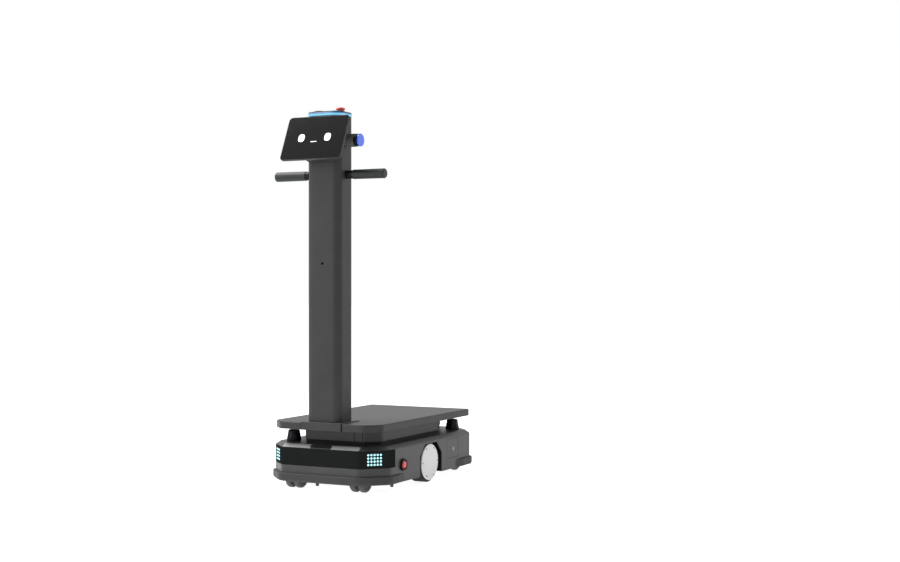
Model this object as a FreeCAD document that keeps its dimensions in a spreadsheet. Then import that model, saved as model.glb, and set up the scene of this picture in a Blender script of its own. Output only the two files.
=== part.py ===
import FreeCAD, Part

import os
import re

import Sketcher
from FreeCAD import Placement, Rotation, Vector

# Delivery robot: a wheeled base with a load deck and a column that carries a display.
# X runs across the robot, its front faces -Y, Z is up and the floor is z = 0. Sizes are in mm.
# Formulas place everything from the middle of the base. frame_shift then moves each piece along Y,
# so that the origin is on the floor under the middle of the whole robot.

SIZES = {
    # Base shell: an eight-sided skirt with bevelled top edges
    "base_half_width": (238, "middle to side wall"),
    "base_half_length": (401, "middle to front or rear wall"),
    "corner_cut": (82, "45 degree cut at each corner in plan"),
    "skirt_z": (29, "lower edge of the skirt"),
    "base_top_z": (163, "top of the base"),
    "bevel_width": (19, "top bevel in plan"),
    "bevel_height": (13, "top bevel in height"),
    "shell_wall": (4, "wall of the plastic shell"),
    "snug": (0.1, "gap round a piece that is pushed into its seat"),
    "slack": (0.3, "gap round a piece that moves past another"),
    "running": (0.05, "radial gap of a shaft in its bore"),
    # Visor, lights and front camera
    "visor_bottom_z": (88, "lower edge of the black visor"),
    "visor_top_z": (150, "upper edge of the black visor"),
    "visor_length": (117, "visor along the side, from the front wall"),
    "visor_wall": (4, "visor thickness"),
    "lamp_pitch": (11.3, "spacing of the lamp dots"),
    "lamp_radius": (3.9, "one lamp dot"),
    "lamp_proud": (0.8, "how far a lamp dot stands out"),
    "camera_width": (85, "front camera window"),
    "camera_height": (19, "front camera window along the bevel"),
    "camera_proud": (3, "front camera window above the bevel"),
    # Bumpers
    "bumper_side_out": (9, "bumper beyond the side wall"),
    "bumper_end_out": (11, "bumper beyond the front or rear wall"),
    "bumper_top_z": (62, "upper edge of the bumper"),
    "bumper_edge": (4, "bevel of the bumper's edges"),
    "bumper_fade": (45, "length over which the bumper's end runs out"),
    "front_bumper_length": (179, "front bumper along the side, from the front wall"),
    "rear_bumper_length": (209, "rear bumper along the side, from the rear wall"),
    # Laser scanners
    "lidar_side_gap": (67, "scanner axis to the side wall"),
    "lidar_end_gap": (101, "scanner axis to the front or rear wall"),
    "lidar_radius": (26, "scanner foot"),
    "lidar_top_radius": (21.5, "scanner top"),
    "lidar_height": (39, "scanner above the base"),
    "lidar_foot": (10, "height of the scanner's foot"),
    "lidar_cap": (9, "height of the scanner's cap"),
    "lidar_edge": (4, "bevel of the scanner's cap"),
    "lidar_core": (18, "scanner core inside its window"),
    "lidar_post": (10, "post under a scanner"),
    # Frame of the base
    "floor_z": (42, "underside of the floor sheet"),
    "sheet": (3, "thickness of the steel sheet"),
    "floor_side_gap": (80, "floor sheet to the side wall"),
    "floor_end_gap": (173, "floor sheet to the front or rear wall"),
    "shelf_side_gap": (43, "raised shelf to the side wall"),
    "shelf_corner": (50, "corner cut of the raised shelf"),
    "shelf_gap": (14, "raised shelf to the outside of the shell"),
    "post_side": (36, "square post under the deck"),
    "post_x": (66, "post to the side"),
    "post_end_gap": (157, "post to the front or rear wall"),
    "post_wall": (3, "wall of the posts"),
    "foot_post": (40, "square post under the column"),
    # Batteries and electronics
    "pack_side_gap": (34, "battery and control box to the swing arm"),
    "pack_height": (95, "battery above the floor sheet"),
    "pack_end_gap": (33, "battery or control box to the end of the floor sheet"),
    "pack_gap": (10, "middle of the robot to the battery"),
    # Drive wheels and their sprung arms
    "drive_y": (-10, "drive axle, along the robot"),
    "drive_radius": (74, "tyre"),
    "hub_radius": (58, "wheel hub"),
    "tyre_edge": (4, "bevel of the tyre's tread"),
    "wheel_side_gap": (8, "outer face of hub and tyre to the side wall"),
    "wheel_width": (58, "hub and tyre"),
    "disc_radius": (66, "wheel cover disc"),
    "disc_thickness": (5, "wheel cover disc"),
    "disc_screws": (6, "screws in the wheel cover"),
    "disc_screw_circle": (57, "screws from the wheel's centre"),
    "disc_screw_radius": (2.4, "screw hole in the wheel cover"),
    "disc_screw_depth": (1.5, "screw hole in the wheel cover"),
    "axle_radius": (10, "drive axle"),
    "axle_reach": (34, "drive axle inside the hub"),
    "arm_inset": (38, "inner face of the swing arm to the wheel"),
    "arm_thickness": (14, "swing arm"),
    "arm_back": (90, "drive axle to the pivot"),
    "arm_front": (65, "drive axle to the spring"),
    "arm_half_height": (18, "half height of the swing arm"),
    "pivot_radius": (6, "pin of the swing arm"),
    "bracket_t": (5, "plates that hold the pin"),
    "bracket_gap": (4, "swing arm to its bracket plates"),
    "spring_top_z": (140, "upper seat of the spring"),
    "spring_radius": (10.5, "outside of the spring"),
    "spring_wire": (3, "section of the spring wire"),
    "spring_turns": (5, "turns of the spring"),
    # Wheel arches
    "arch_half_width": (87, "arch at the bottom"),
    "arch_shoulder_z": (103, "top of the arch's upright edges"),
    "arch_top_half_width": (47, "arch at the top"),
    "arch_top_z": (144, "top of the arch"),
    "well_inset": (12, "inner wall of the wheel well to the wheel"),
    "well_half_width": (92, "wheel well at the bottom, outside"),
    "well_top_half_width": (60, "wheel well at the top, outside"),
    "well_shoulder_z": (114, "shoulder of the wheel well"),
    "well_wall": (2, "wall of the wheel well"),
    "well_hole": (24, "hole for the axle in the wheel well"),
    # Castors
    "castor_radius": (37.5, "castor wheel"),
    "castor_width": (21, "one wheel of a castor"),
    "castor_gap": (14, "between the two wheels of a castor"),
    "castor_web": (10, "castor body between its wheels"),
    "castor_axle": (4, "axle of a castor"),
    "castor_trail": (18, "axle from the swivel"),
    "castor_front_side": (106, "front castor swivel to the side wall"),
    "castor_front_end": (76, "front castor swivel to the front wall"),
    "castor_rear_side": (88, "rear castor swivel to the side wall"),
    "castor_rear_end": (89, "rear castor swivel to the rear wall"),
    "castor_top_z": (82, "top of the castor's flange"),
    "castor_flange": (22, "castor's flange"),
    "castor_stem": (8, "castor's swivel stem"),
    "castor_plate": (64, "castor's mounting plate"),
    "castor_plate_t": (6, "thickness of the mounting plate"),
    # Pedestal between base and deck
    "pedestal_side_gap": (46, "pedestal to the side wall of the base"),
    "pedestal_end_gap": (61, "pedestal to the front or rear wall of the base"),
    "pedestal_corner": (45, "corner cut of the pedestal"),
    "pedestal_small_corner": (13, "small corner cut beside a scanner"),
    "recess_side": (66, "scanner axis to the recess's wall, sideways"),
    "recess_end": (155, "scanner axis to the recess's wall, along the robot"),
    "pedestal_wall": (3, "pedestal wall"),
    "seal_height": (12, "rubber band under the pedestal cover"),
    "seal_inset": (2, "rubber band behind the cover's face"),
    # Deck
    "deck_side_gap": (18, "deck's edge to the side wall of the base"),
    "deck_front_gap": (9, "deck's front edge to the front wall of the base"),
    "deck_rear_gap": (49, "deck's rear edge to the rear wall of the base"),
    "deck_corner": (50, "cut of the deck's front corners"),
    "deck_round": (30, "rounding of the front corner cuts"),
    "deck_rear_round": (8, "rounding of the deck's rear corners"),
    "deck_bottom_z": (214, "lower edge of the deck"),
    "deck_top_z": (240, "load surface"),
    "deck_edge": (5.5, "rounding of the deck's top edge"),
    "deck_wall": (3, "thickness of the deck pan"),
    "deck_hole_radius": (4.25, "fixing holes in the deck"),
    "deck_hole_x": (300, "fixing holes across"),
    "deck_hole_y": (400, "fixing holes along"),
    "deck_hole_middle": (40, "middle of the fixing holes, behind the middle of the base"),
    # Column
    "column_end_gap": (70, "column axis to the front wall of the base"),
    "column_width": (138, "column across"),
    "column_depth": (106, "column along"),
    "column_round": (29, "column's corner radius"),
    "column_wall": (3.5, "column wall"),
    "column_top_z": (1321, "top of the column tube"),
    "plinth_side": (13, "plinth beyond the column's sides"),
    "plinth_ahead": (65, "column axis to the plinth's front"),
    "plinth_behind": (67, "column axis to the plinth's rear"),
    "plinth_rise": (3, "plinth above the load surface"),
    "plinth_wall": (6, "plinth wall"),
    "socket_drop": (520, "accessory thread in the column's front, below the column's top"),
    "socket_radius": (4.25, "accessory thread"),
    "socket_length": (12, "length of the accessory thread"),
    "socket_boss": (9, "boss round the accessory thread"),
    # Light ring, cap and what stands on it
    "ring_height": (12.5, "light ring"),
    "ring_proud": (2, "light ring beyond the column"),
    "ring_band": (8, "width of the light ring seen from above"),
    "cap_rise": (5.5, "cap above the light ring"),
    "cap_edge": (3, "rounding of the cap's edge"),
    "cap_plug": (18, "depth of the cap's plug"),
    "top_camera_radius": (19.5, "ceiling camera"),
    "top_camera_height": (5.5, "ceiling camera above the cap"),
    "top_item_side": (25.5, "ceiling camera and stop button to the column's side"),
    "stop_collar": (14, "hole for the top stop button's collar"),
    "stop_flange": (1.5, "flange of the top stop button's collar beyond its hole"),
    "stop_flange_height": (1.2, "flange of the top stop button's collar"),
    "stop_skirt": (12.4, "red skirt under the top stop button's head"),
    "stop_depth": (18, "collar of the top stop button below the cap"),
    "stop_stem": (8, "stem of a side stop button"),
    "stop_radius": (16.4, "head of the top stop button"),
    "stop_travel": (4, "travel of a stop button"),
    "stop_head": (8, "height of the top button's head"),
    # Display
    "display_width": (246, "display across"),
    "display_height": (170.6, "display along its slope"),
    "display_corner": (14, "display's corner radius"),
    "display_depth": (12, "display housing"),
    "display_glass": (2, "front glass"),
    "display_border": (2, "housing round the glass"),
    "display_ahead": (104.5, "column axis to the middle of the display's front"),
    "display_drop": (81, "middle of the display's front below the column's top"),
    "display_tilt": (23.9, "lean of the display, in degrees"),
    "neck_side": (7, "neck inside the column's sides"),
    "neck_up": (60, "neck above the display's middle"),
    "neck_down": (66, "neck below the display's middle"),
    "neck_edge": (9, "rounding of the neck"),
    # Handles
    "handle_drop": (206, "handle axis below the column's top"),
    "handle_bar_radius": (11, "bar through the column"),
    "grip_length": (129, "grip"),
    "grip_radius": (17.2, "grip"),
    "handle_collar_length": (27, "collar between column and grip"),
    "grip_edge": (3, "rounding of a grip's ends"),
    "handle_collar_radius": (15, "collar between column and grip"),
    # Call button on the column's side
    "call_drop": (86, "call button's axis below the column's top"),
    "call_radius": (23.5, "housing of the call button"),
    "call_housing_length": (37, "housing of the call button"),
    "call_collar_length": (12, "black collar of the call button"),
    "call_cap_radius": (22.8, "blue cap"),
    "call_cap_height": (6, "blue cap"),
    "call_stem": (15, "stem of the cap"),
    "call_stem_depth": (9, "stem of the cap inside the housing"),
    "call_bore": (14, "depth of the housing's bore for the stem"),
    "call_edge": (1, "bevel of the housing and its collar"),
    "call_cable": (8, "radius of the call button's cable hole"),
    "call_travel": (3.5, "travel of the cap"),
    # Stop buttons in the base's sides
    "side_stop_end": (173, "side stop button to the front wall"),
    "side_stop_z": (90, "side stop button's height"),
    "side_stop_cup": (20, "cup of a side stop button"),
    "side_stop_radius": (14.2, "head of a side stop button"),
    "side_stop_out": (9.5, "head beyond the side wall"),
    "side_stop_head": (11, "height of a side button's head"),
    "cup_depth": (14, "depth of the cup"),
    "cup_floor": (3, "bottom of the cup"),
    "cup_wall": (2.4, "wall of the cup"),
    "cup_rim": (2, "rim of the cup on the side wall"),
    "cup_rim_height": (1.6, "rim of the cup"),
    "side_stem_end": (10, "stem beyond the bottom of the cup"),
    # Hatch in the left side
    "hatch_y_low": (120, "front edge of the hatch"),
    "hatch_y_high": (215, "hinged edge of the hatch"),
    "hatch_z_low": (71, "lower edge of the hatch"),
    "hatch_z_high": (143, "upper edge of the hatch"),
    "hinge_radius": (1.2, "hinge pins of the hatch"),
    "hinge_length": (4, "hinge pins of the hatch"),
    "latch_y": (171, "latch along the robot"),
    "latch_z": (104, "latch height"),
    "latch_radius": (6, "latch barrel"),
    "latch_head": (7.5, "latch head"),
    # Charging contacts and floor sensors
    "charge_half_width": (45, "charging contacts across"),
    "charge_z": (93, "middle of the charging contacts"),
    "charge_half_height": (15, "charging contacts"),
    "charge_depth": (10, "block of the charging contacts"),
    "sensor_radius": (6, "floor sensor pods"),
    "sensor_drop": (9, "floor sensor pods below the skirt"),
    "sensor_edge": (1.5, "bevel of the floor sensor pods"),
    "sensor_side_end": (99, "floor sensors at the sides to the front wall"),
    "sensor_end_x": (12, "floor sensors at the ends, to the side"),
}

# Places and sizes that follow from the ones above, as formulas of the sheet
DERIVED = {
    "visor_rear": "base_half_length - visor_length",
    "front_bumper_end": "base_half_length - front_bumper_length",
    "rear_bumper_end": "base_half_length - rear_bumper_length",
    "lidar_x": "base_half_width - lidar_side_gap",
    "lidar_y": "base_half_length - lidar_end_gap",
    "floor_half_width": "base_half_width - floor_side_gap",
    "floor_half_length": "base_half_length - floor_end_gap",
    "shelf_half_width": "base_half_width - shelf_side_gap",
    "post_y": "base_half_length - post_end_gap",
    "wheel_outer_x": "base_half_width - wheel_side_gap",
    "wheel_inner_x": "wheel_outer_x - wheel_width",
    "arm_x": "wheel_inner_x - arm_inset",
    "well_x": "wheel_inner_x - well_inset",
    "pack_half_width": "arm_x - pack_side_gap",
    "pack_end": "floor_half_length - pack_end_gap",
    "castor_front_x": "base_half_width - castor_front_side",
    "castor_front_y": "castor_front_end - base_half_length",
    "castor_rear_x": "base_half_width - castor_rear_side",
    "castor_rear_y": "base_half_length - castor_rear_end",
    "pedestal_half_width": "base_half_width - pedestal_side_gap",
    "pedestal_half_length": "base_half_length - pedestal_end_gap",
    "recess_x": "lidar_x - recess_side",
    "recess_y": "lidar_y - recess_end",
    "deck_half_width": "base_half_width - deck_side_gap",
    "deck_front": "base_half_length - deck_front_gap",
    "deck_rear": "base_half_length - deck_rear_gap",
    "column_y": "column_end_gap - base_half_length",
    "plinth_half_width": "column_width/2 + plinth_side",
    "plinth_front": "plinth_ahead - column_y",
    "plinth_rear": "0 - column_y - plinth_behind",
    "top_item_x": "column_width/2 - top_item_side",
    "display_y": "column_y - display_ahead",
    "display_z": "column_top_z - display_drop",
    "neck_half_width": "column_width/2 - neck_side",
    "handle_z": "column_top_z - handle_drop",
    "grip_start": "column_width/2 + handle_collar_length",
    "handle_end": "grip_start + grip_length",
    "call_z": "column_top_z - call_drop",
    "call_housing_end": "column_width/2 + call_housing_length",
    "call_collar_end": "call_housing_end + call_collar_length",
    "socket_z": "column_top_z - socket_drop",
    "side_stop_y": "side_stop_end - base_half_length",
    "sensor_side_x": "base_half_width - shell_wall",
    "sensor_side_y": "sensor_side_end - base_half_length",
    "sensor_end_y": "base_half_length - shell_wall",
    "shelf_z": "castor_top_z + slack + castor_plate_t",
    "cap_z": "column_top_z + ring_height + cap_rise",
    "hinge_x": "base_half_width - shell_wall/2",
    "hinge_y": "hatch_y_high - shell_wall/2",
    "display_low": "display_y - display_height/2*sin(display_tilt)",
    "frame_shift": "(0 - display_low - base_half_length - bumper_end_out)/2",
}

doc = FreeCAD.newDocument("robot")
dims = doc.addObject("Spreadsheet::Sheet", "dims")
for row, (alias, (size, note)) in enumerate(SIZES.items(), start=1):
    dims.set(f"A{row}", alias)
    dims.set(f"B{row}", str(size))
    dims.set(f"C{row}", note)
    dims.setAlias(f"B{row}", alias)
for row, (alias, text) in enumerate(DERIVED.items(), start=len(SIZES) + 1):
    dims.set(f"A{row}", alias)
    dims.set(f"B{row}", "=" + text)
    dims.setAlias(f"B{row}", alias)
doc.recompute()

# Two positions closer than this are the same, in mm
NEAR = 0.01

# How a piece that is turned about Z lies when its axis points another way
TURNED = {
    "z": Rotation(),
    "-z": Rotation(Vector(1, 0, 0), 180),
    "x": Rotation(Vector(0, 1, 0), 90),
    "-x": Rotation(Vector(0, 1, 0), -90),
    "y": Rotation(Vector(1, 0, 0), -90),
    "-y": Rotation(Vector(1, 0, 0), 90),
}

nodes = {}


def formula(text):
    """A sheet expression: each known size name is read from its cell."""
    def cell(match):
        word = match.group(0)
        return "dims." + word if word in SIZES or word in DERIVED else word
    return re.sub(r"[a-z_][a-z_0-9]*", cell, str(text))


def value(text):
    """The number a formula gives now."""
    return float(dims.evalExpression(formula(text)))


def bind(thing, prop, text):
    """Tie a property of a feature to the sheet."""
    thing.setExpression(prop, formula(text))


def place(thing, x="0", y="0", z="0", turn=None):
    """Put a feature at a point given by formulas, with a fixed turn."""
    if turn is not None:
        thing.Placement = Placement(Vector(), turn)
    for axis, text in (("x", x), ("y", y), ("z", z)):
        bind(thing, "Placement.Base." + axis, text)
    return thing


def node(name, thing, shifted=False):
    """Register a sub-part under its name; shifted tells that its sources are in the frame already."""
    thing.Label = name
    if not shifted:
        own = dict((path.lstrip("."), text) for path, text in thing.ExpressionEngine)
        shift = formula("frame_shift")
        along = own.get("Placement.Base.y")
        thing.setExpression("Placement.Base.y", f"({along}) + {shift}" if along else shift)
    nodes[name] = thing
    return thing


# Part primitives and booleans

def box(name, x, y, z):
    """A block; x, y and z each give its low and high formula."""
    block = doc.addObject("Part::Box", name)
    for size, (low, high) in (("Length", x), ("Width", y), ("Height", z)):
        bind(block, size, f"({high}) - ({low})")
    return place(block, x[0], y[0], z[0])


def rod(name, radius, axis, ends, across):
    """A round bar along x, y or z between two formulas; across gives the two other coordinates."""
    bar = doc.addObject("Part::Cylinder", name)
    bind(bar, "Radius", radius)
    bind(bar, "Height", f"({ends[1]}) - ({ends[0]})")
    spot = list(across)
    spot.insert("xyz".index(axis), ends[0])
    return place(bar, *spot, turn=TURNED[axis])


def fuse(name, *shapes):
    joined = doc.addObject("Part::MultiFuse", name)
    joined.Shapes = list(shapes)
    joined.Refine = True
    return joined


def cut(name, base, *tools):
    """The base less the tools."""
    result = doc.addObject("Part::Cut", name)
    result.Base = base
    result.Tool = tools[0] if len(tools) == 1 else fuse(name + "_tools", *tools)
    result.Refine = True
    return result


def group(name, *shapes):
    """Separate solids that make one sub-part."""
    both = doc.addObject("Part::Compound", name)
    both.Links = list(shapes)
    return both


def mirrored(name, thing):
    """The same piece on the robot's other side."""
    twin = doc.addObject("Part::Mirroring", name)
    twin.Source = thing
    twin.Base = Vector()
    twin.Normal = Vector(1, 0, 0)
    return twin


# PartDesign bodies and their features

def body(name):
    return doc.addObject("PartDesign::Body", name)


def draw(sketch, shape):
    """Draw a polygon (a list of points) or a circle ("circle", x, y, radius), all tied to the sheet."""
    def fix(geometry, point, x, y):
        for kind, text in (("DistanceX", x), ("DistanceY", y)):
            constraint = Sketcher.Constraint(kind, -1, 1, geometry, point, value(text))
            index = sketch.addConstraint(constraint)
            bind(sketch, f"Constraints[{index}]", text)

    if shape[0] == "circle":
        kind, x, y, radius = shape
        circle = Part.Circle(Vector(value(x), value(y), 0), Vector(0, 0, 1), value(radius))
        geometry = sketch.addGeometry(circle)
        fix(geometry, 3, x, y)
        index = sketch.addConstraint(Sketcher.Constraint("Radius", geometry, value(radius)))
        bind(sketch, f"Constraints[{index}]", radius)
        return
    corners = [Vector(value(x), value(y), 0) for x, y in shape]
    count = len(corners)
    first = sketch.GeometryCount
    for i in range(count):
        sketch.addGeometry(Part.LineSegment(corners[i], corners[(i + 1) % count]))
    for i in range(count):
        sketch.addConstraint(Sketcher.Constraint("Coincident", first + i, 2, first + (i + 1) % count, 1))
        fix(first + i, 1, *shape[i])


def sketch_on(owner, plane, offset, *shapes):
    """A sketch on one of the body's origin planes: XY, YZ or XZ. An XZ sketch looks from the front."""
    sketch = owner.newObject("Sketcher::SketchObject", owner.Name + "_sketch")
    base = next(f for f in owner.Origin.OriginFeatures if f.Role == plane + "_Plane")
    sketch.AttachmentSupport = [(base, "")]
    sketch.MapMode = "FlatFace"
    bind(sketch, "AttachmentOffset.Base.z", offset)
    for shape in shapes:
        draw(sketch, shape)
    return sketch


def pad(owner, plane, low, high, *shapes):
    """Material between two positions along the plane's normal; along Y for an XZ sketch."""
    offset = f"-({high})" if plane == "XZ" else low
    sketch = sketch_on(owner, plane, offset, *shapes)
    feature = owner.newObject("PartDesign::Pad", owner.Name + "_pad")
    feature.Profile = sketch
    bind(feature, "Length", f"({high}) - ({low})")
    doc.recompute()
    return feature


def pocket(owner, plane, low, high, *shapes):
    """A cut between two positions along the plane's normal; it has to remove something."""
    offset = f"-({low})" if plane == "XZ" else high
    before = owner.Shape.Volume
    sketch = sketch_on(owner, plane, offset, *shapes)
    feature = owner.newObject("PartDesign::Pocket", owner.Name + "_pocket")
    feature.Profile = sketch
    bind(feature, "Length", f"({high}) - ({low})")
    doc.recompute()
    if not owner.Shape.Volume < before - NEAR:
        raise RuntimeError(f"a pocket of {owner.Name} cuts nothing")
    return feature


def edges_where(owner, test):
    """Names of the body's edges whose two ends pass a test."""
    names = []
    for i, edge in enumerate(owner.Shape.Edges, start=1):
        points = [v.Point for v in edge.Vertexes]
        if len(points) == 2 and test(*points):
            names.append(f"Edge{i}")
    return names


def upright(a, b):
    """The test for edges along Z."""
    return abs(a.x - b.x) < NEAR and abs(a.y - b.y) < NEAR


def level(height):
    """A test for edges that lie at one height."""
    at = value(height)
    return lambda a, b: abs(a.z - at) < NEAR and abs(b.z - at) < NEAR


def dress(owner, kind, names):
    """A feature on named edges or faces of what the body has so far."""
    base = owner.Tip
    feature = owner.newObject("PartDesign::" + kind, f"{owner.Name}_{kind.lower()}")
    feature.Base = (base, names)
    return feature


def fillet(owner, radius, test):
    feature = dress(owner, "Fillet", edges_where(owner, test))
    bind(feature, "Radius", radius)
    doc.recompute()
    return feature


def chamfer(owner, size, test):
    feature = dress(owner, "Chamfer", edges_where(owner, test))
    bind(feature, "Size", size)
    doc.recompute()
    return feature


def prism(name, plane, low, high, *shapes):
    """A body with one padded outline."""
    made = body(name)
    pad(made, plane, low, high, *shapes)
    return made


def turned(name, profile, at=("0", "0", "0"), axis="z"):
    """A body of revolution: profile points are (radius, height along the axis from the place)."""
    made = body(name)
    sketch = sketch_on(made, "XZ", "0", profile)
    feature = made.newObject("PartDesign::Revolution", name + "_turn")
    feature.Profile = sketch
    feature.ReferenceAxis = (sketch, ["V_Axis"])
    feature.Angle = 360
    doc.recompute()
    return place(made, *at, turn=TURNED[axis])


def octagon(width, length, corner):
    """A rectangle in plan with its four corners cut; half sizes."""
    w, l, c = f"({width})", f"({length})", f"({corner})"
    quarter = [(f"{w} - {c}", l), (w, f"{l} - {c}")]
    right_rear = quarter
    right_front = [(x, f"-({y})") for x, y in reversed(quarter)]
    left_front = [(f"-({x})", f"-({y})") for x, y in quarter]
    left_rear = [(f"-({x})", y) for x, y in reversed(quarter)]
    return right_rear + right_front + left_front + left_rear


def rectangle(x, y):
    """Four corners from a low and a high formula each way."""
    return [(x[0], y[0]), (x[1], y[0]), (x[1], y[1]), (x[0], y[1])]


# A 45 degree corner cut shrinks by this share of a wall that is offset inwards
CORNER_SHARE = "0.5858"


def base_outline(inset="0"):
    """The base in plan, offset inwards by a wall."""
    return octagon(f"base_half_width - {inset}", f"base_half_length - {inset}",
                   f"corner_cut - {CORNER_SHARE}*{inset}")


def bumper_outline():
    """The base in plan, grown by the bumper's reach."""
    return octagon("base_half_width + bumper_side_out", "base_half_length + bumper_end_out",
                   f"corner_cut + {CORNER_SHARE}/2*(bumper_side_out + bumper_end_out)")


def pedestal_outline(inset="0"):
    """The pedestal in plan: two opposite corners step in round the scanners."""
    w = f"(pedestal_half_width - {inset})"
    l = f"(pedestal_half_length - {inset})"
    c = f"(pedestal_corner - {CORNER_SHARE}*{inset})"
    s = f"(pedestal_small_corner - {CORNER_SHARE}*{inset})"
    rx = f"(recess_x - {inset})"
    ry = f"(recess_y - {inset})"
    half = [
        (f"-{rx} + {s}", f"-{l}"),
        (f"{w} - {c}", f"-{l}"),
        (w, f"-{l} + {c}"),
        (w, ry),
        (rx, ry),
        (rx, f"{l} - {s}"),
    ]
    return half + [(f"-({x})", f"-({y})") for x, y in half]


# Base shell and what is set into it

def body_shell():
    shell = body("body_shell")
    pad(shell, "XY", "skirt_z", "base_top_z", base_outline())
    bevel = dress(shell, "Chamfer", edges_where(shell, level("base_top_z")))
    bevel.ChamferType = "Two distances"
    bind(bevel, "Size", "bevel_width")
    bind(bevel, "Size2", "bevel_height")
    doc.recompute()
    widest = max(v.Point.x for v in shell.Shape.Vertexes if abs(v.Point.z - value("base_top_z")) < NEAR)
    if abs(widest - value("base_half_width - bevel_width")) > NEAR:
        bevel.FlipDirection = True
        doc.recompute()
    bottom = next(i for i, face in enumerate(shell.Shape.Faces, start=1)
                  if abs(face.BoundBox.ZMax - value("skirt_z")) < NEAR)
    hollow = dress(shell, "Thickness", [f"Face{bottom}"])
    bind(hollow, "Value", "shell_wall")
    hollow.Join = 1
    hollow.Reversed = True
    doc.recompute()
    far = "base_half_width + 20"
    pocket(shell, "XZ", "-base_half_length - 10", "-visor_rear",
           rectangle((f"-({far})", far), ("visor_bottom_z", "visor_top_z")))
    pocket(shell, "YZ", f"-({far})", far, [
        ("drive_y - arch_half_width", "skirt_z - 5"),
        ("drive_y + arch_half_width", "skirt_z - 5"),
        ("drive_y + arch_half_width", "arch_shoulder_z"),
        ("drive_y + arch_top_half_width", "arch_top_z"),
        ("drive_y - arch_top_half_width", "arch_top_z"),
        ("drive_y - arch_half_width", "arch_shoulder_z"),
    ])
    pocket(shell, "YZ", f"-({far})", far, ("circle", "side_stop_y", "side_stop_z", "side_stop_cup + snug"))
    pocket(shell, "YZ", "base_half_width - 2*shell_wall", far,
           rectangle(("hatch_y_low - slack", "hatch_y_high + slack"),
                     ("hatch_z_low - slack", "hatch_z_high + slack")))
    pocket(shell, "XZ", "base_half_length - 2*shell_wall", "base_half_length + 10",
           rectangle(("-charge_half_width - snug", "charge_half_width + snug"),
                     ("charge_z - charge_half_height - snug", "charge_z + charge_half_height + snug")))
    pocket(shell, "XY", "base_top_z - 2*shell_wall", "base_top_z + 5", pedestal_outline("14"))
    pocket(shell, "XY", "hatch_z_low - hinge_length - 1", "hatch_z_high + hinge_length + 1",
           ("circle", "hinge_x", "hinge_y", "hinge_radius + running"))
    node("body_shell", shell)


def front_visor():
    visor = prism("front_visor", "XY", "visor_bottom_z + snug", "visor_top_z - snug", base_outline())
    pocket(visor, "XY", "visor_bottom_z - 1", "visor_top_z + 1", base_outline("visor_wall"))
    pocket(visor, "XY", "visor_bottom_z - 1", "visor_top_z + 1",
           rectangle(("-base_half_width - 5", "base_half_width + 5"),
                     ("-visor_rear - snug", "base_half_length + 5")))
    node("front_visor", visor)


def headlight_lenses():
    """Two fields of five by four lamp dots, one on each front corner of the visor."""
    fields = []
    for name, side, turn in (("left", "", 45), ("right", "-", -45)):
        dots = []
        for column in range(5):
            for line in range(4):
                across = f"({column} - 2)*lamp_pitch"
                up = f"(visor_bottom_z + visor_top_z)/2 + ({line} - 1.5)*lamp_pitch"
                dots.append(("circle", across, up, "lamp_radius"))
        field = prism(f"lamp_field_{name}", "XZ", "-lamp_proud", "0", *dots)
        place(field, f"{side}(base_half_width - corner_cut/2)", "-base_half_length + corner_cut/2", "0",
              turn=Rotation(Vector(0, 0, 1), turn))
        fields.append(field)
    node("headlight_lenses", group("headlight_lenses", *fields))


def front_camera():
    """A dark pill that rides on the front bevel."""
    pill = prism("front_camera", "XY", "-1", "camera_proud",
                 rectangle(("-camera_width/2", "camera_width/2"), ("-camera_height/2", "camera_height/2")))
    fillet(pill, "camera_height/2 - 0.2", upright)
    fillet(pill, "1.2", level("camera_proud"))
    lean = "atan(bevel_height/bevel_width)"
    place(pill, "0", "-base_half_length + bevel_width/2", "base_top_z - bevel_height/2",
          turn=Rotation(Vector(1, 0, 0), value(lean)))
    bind(pill, "Placement.Rotation.Angle", lean)
    slope = prism("camera_slope", "YZ", "-camera_width", "camera_width", [
        ("-base_half_length", "visor_top_z - snug - 3"),
        ("-base_half_length", "base_top_z - bevel_height"),
        ("-base_half_length + bevel_width", "base_top_z"),
        ("-base_half_length + bevel_width + 5", "base_top_z"),
        ("-base_half_length + bevel_width + 5", "visor_top_z - snug - 3"),
    ])
    node("front_camera", cut("front_camera_window", pill, slope))


def bumper(name, front):
    """A rubber strip round one end of the skirt, whose ends run out along the sides."""
    strip = prism(name, "XY", "skirt_z + 1", "bumper_top_z", bumper_outline())
    chamfer(strip, "bumper_edge", level("bumper_top_z"))
    chamfer(strip, "bumper_edge + 1", level("skirt_z + 1"))
    pocket(strip, "XY", "skirt_z - 1", "bumper_top_z + 1", base_outline())
    end = "front_bumper_end" if front else "rear_bumper_end"
    wide = "(base_half_width + bumper_side_out + 5)"
    far = "(base_half_length + 50)"
    outer = f"({end} + bumper_fade*(bumper_side_out + 5)/bumper_side_out)"
    hand = "-" if front else ""
    away = "" if front else "-"
    pocket(strip, "XY", "skirt_z - 1", "bumper_top_z + 1", [
        (wide, f"{hand}{outer}"),
        ("base_half_width", f"{hand}{end}"),
        ("-base_half_width", f"{hand}{end}"),
        (f"-{wide}", f"{hand}{outer}"),
        (f"-{wide}", f"{away}{far}"),
        (wide, f"{away}{far}"),
    ])
    node(name, strip)


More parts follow.
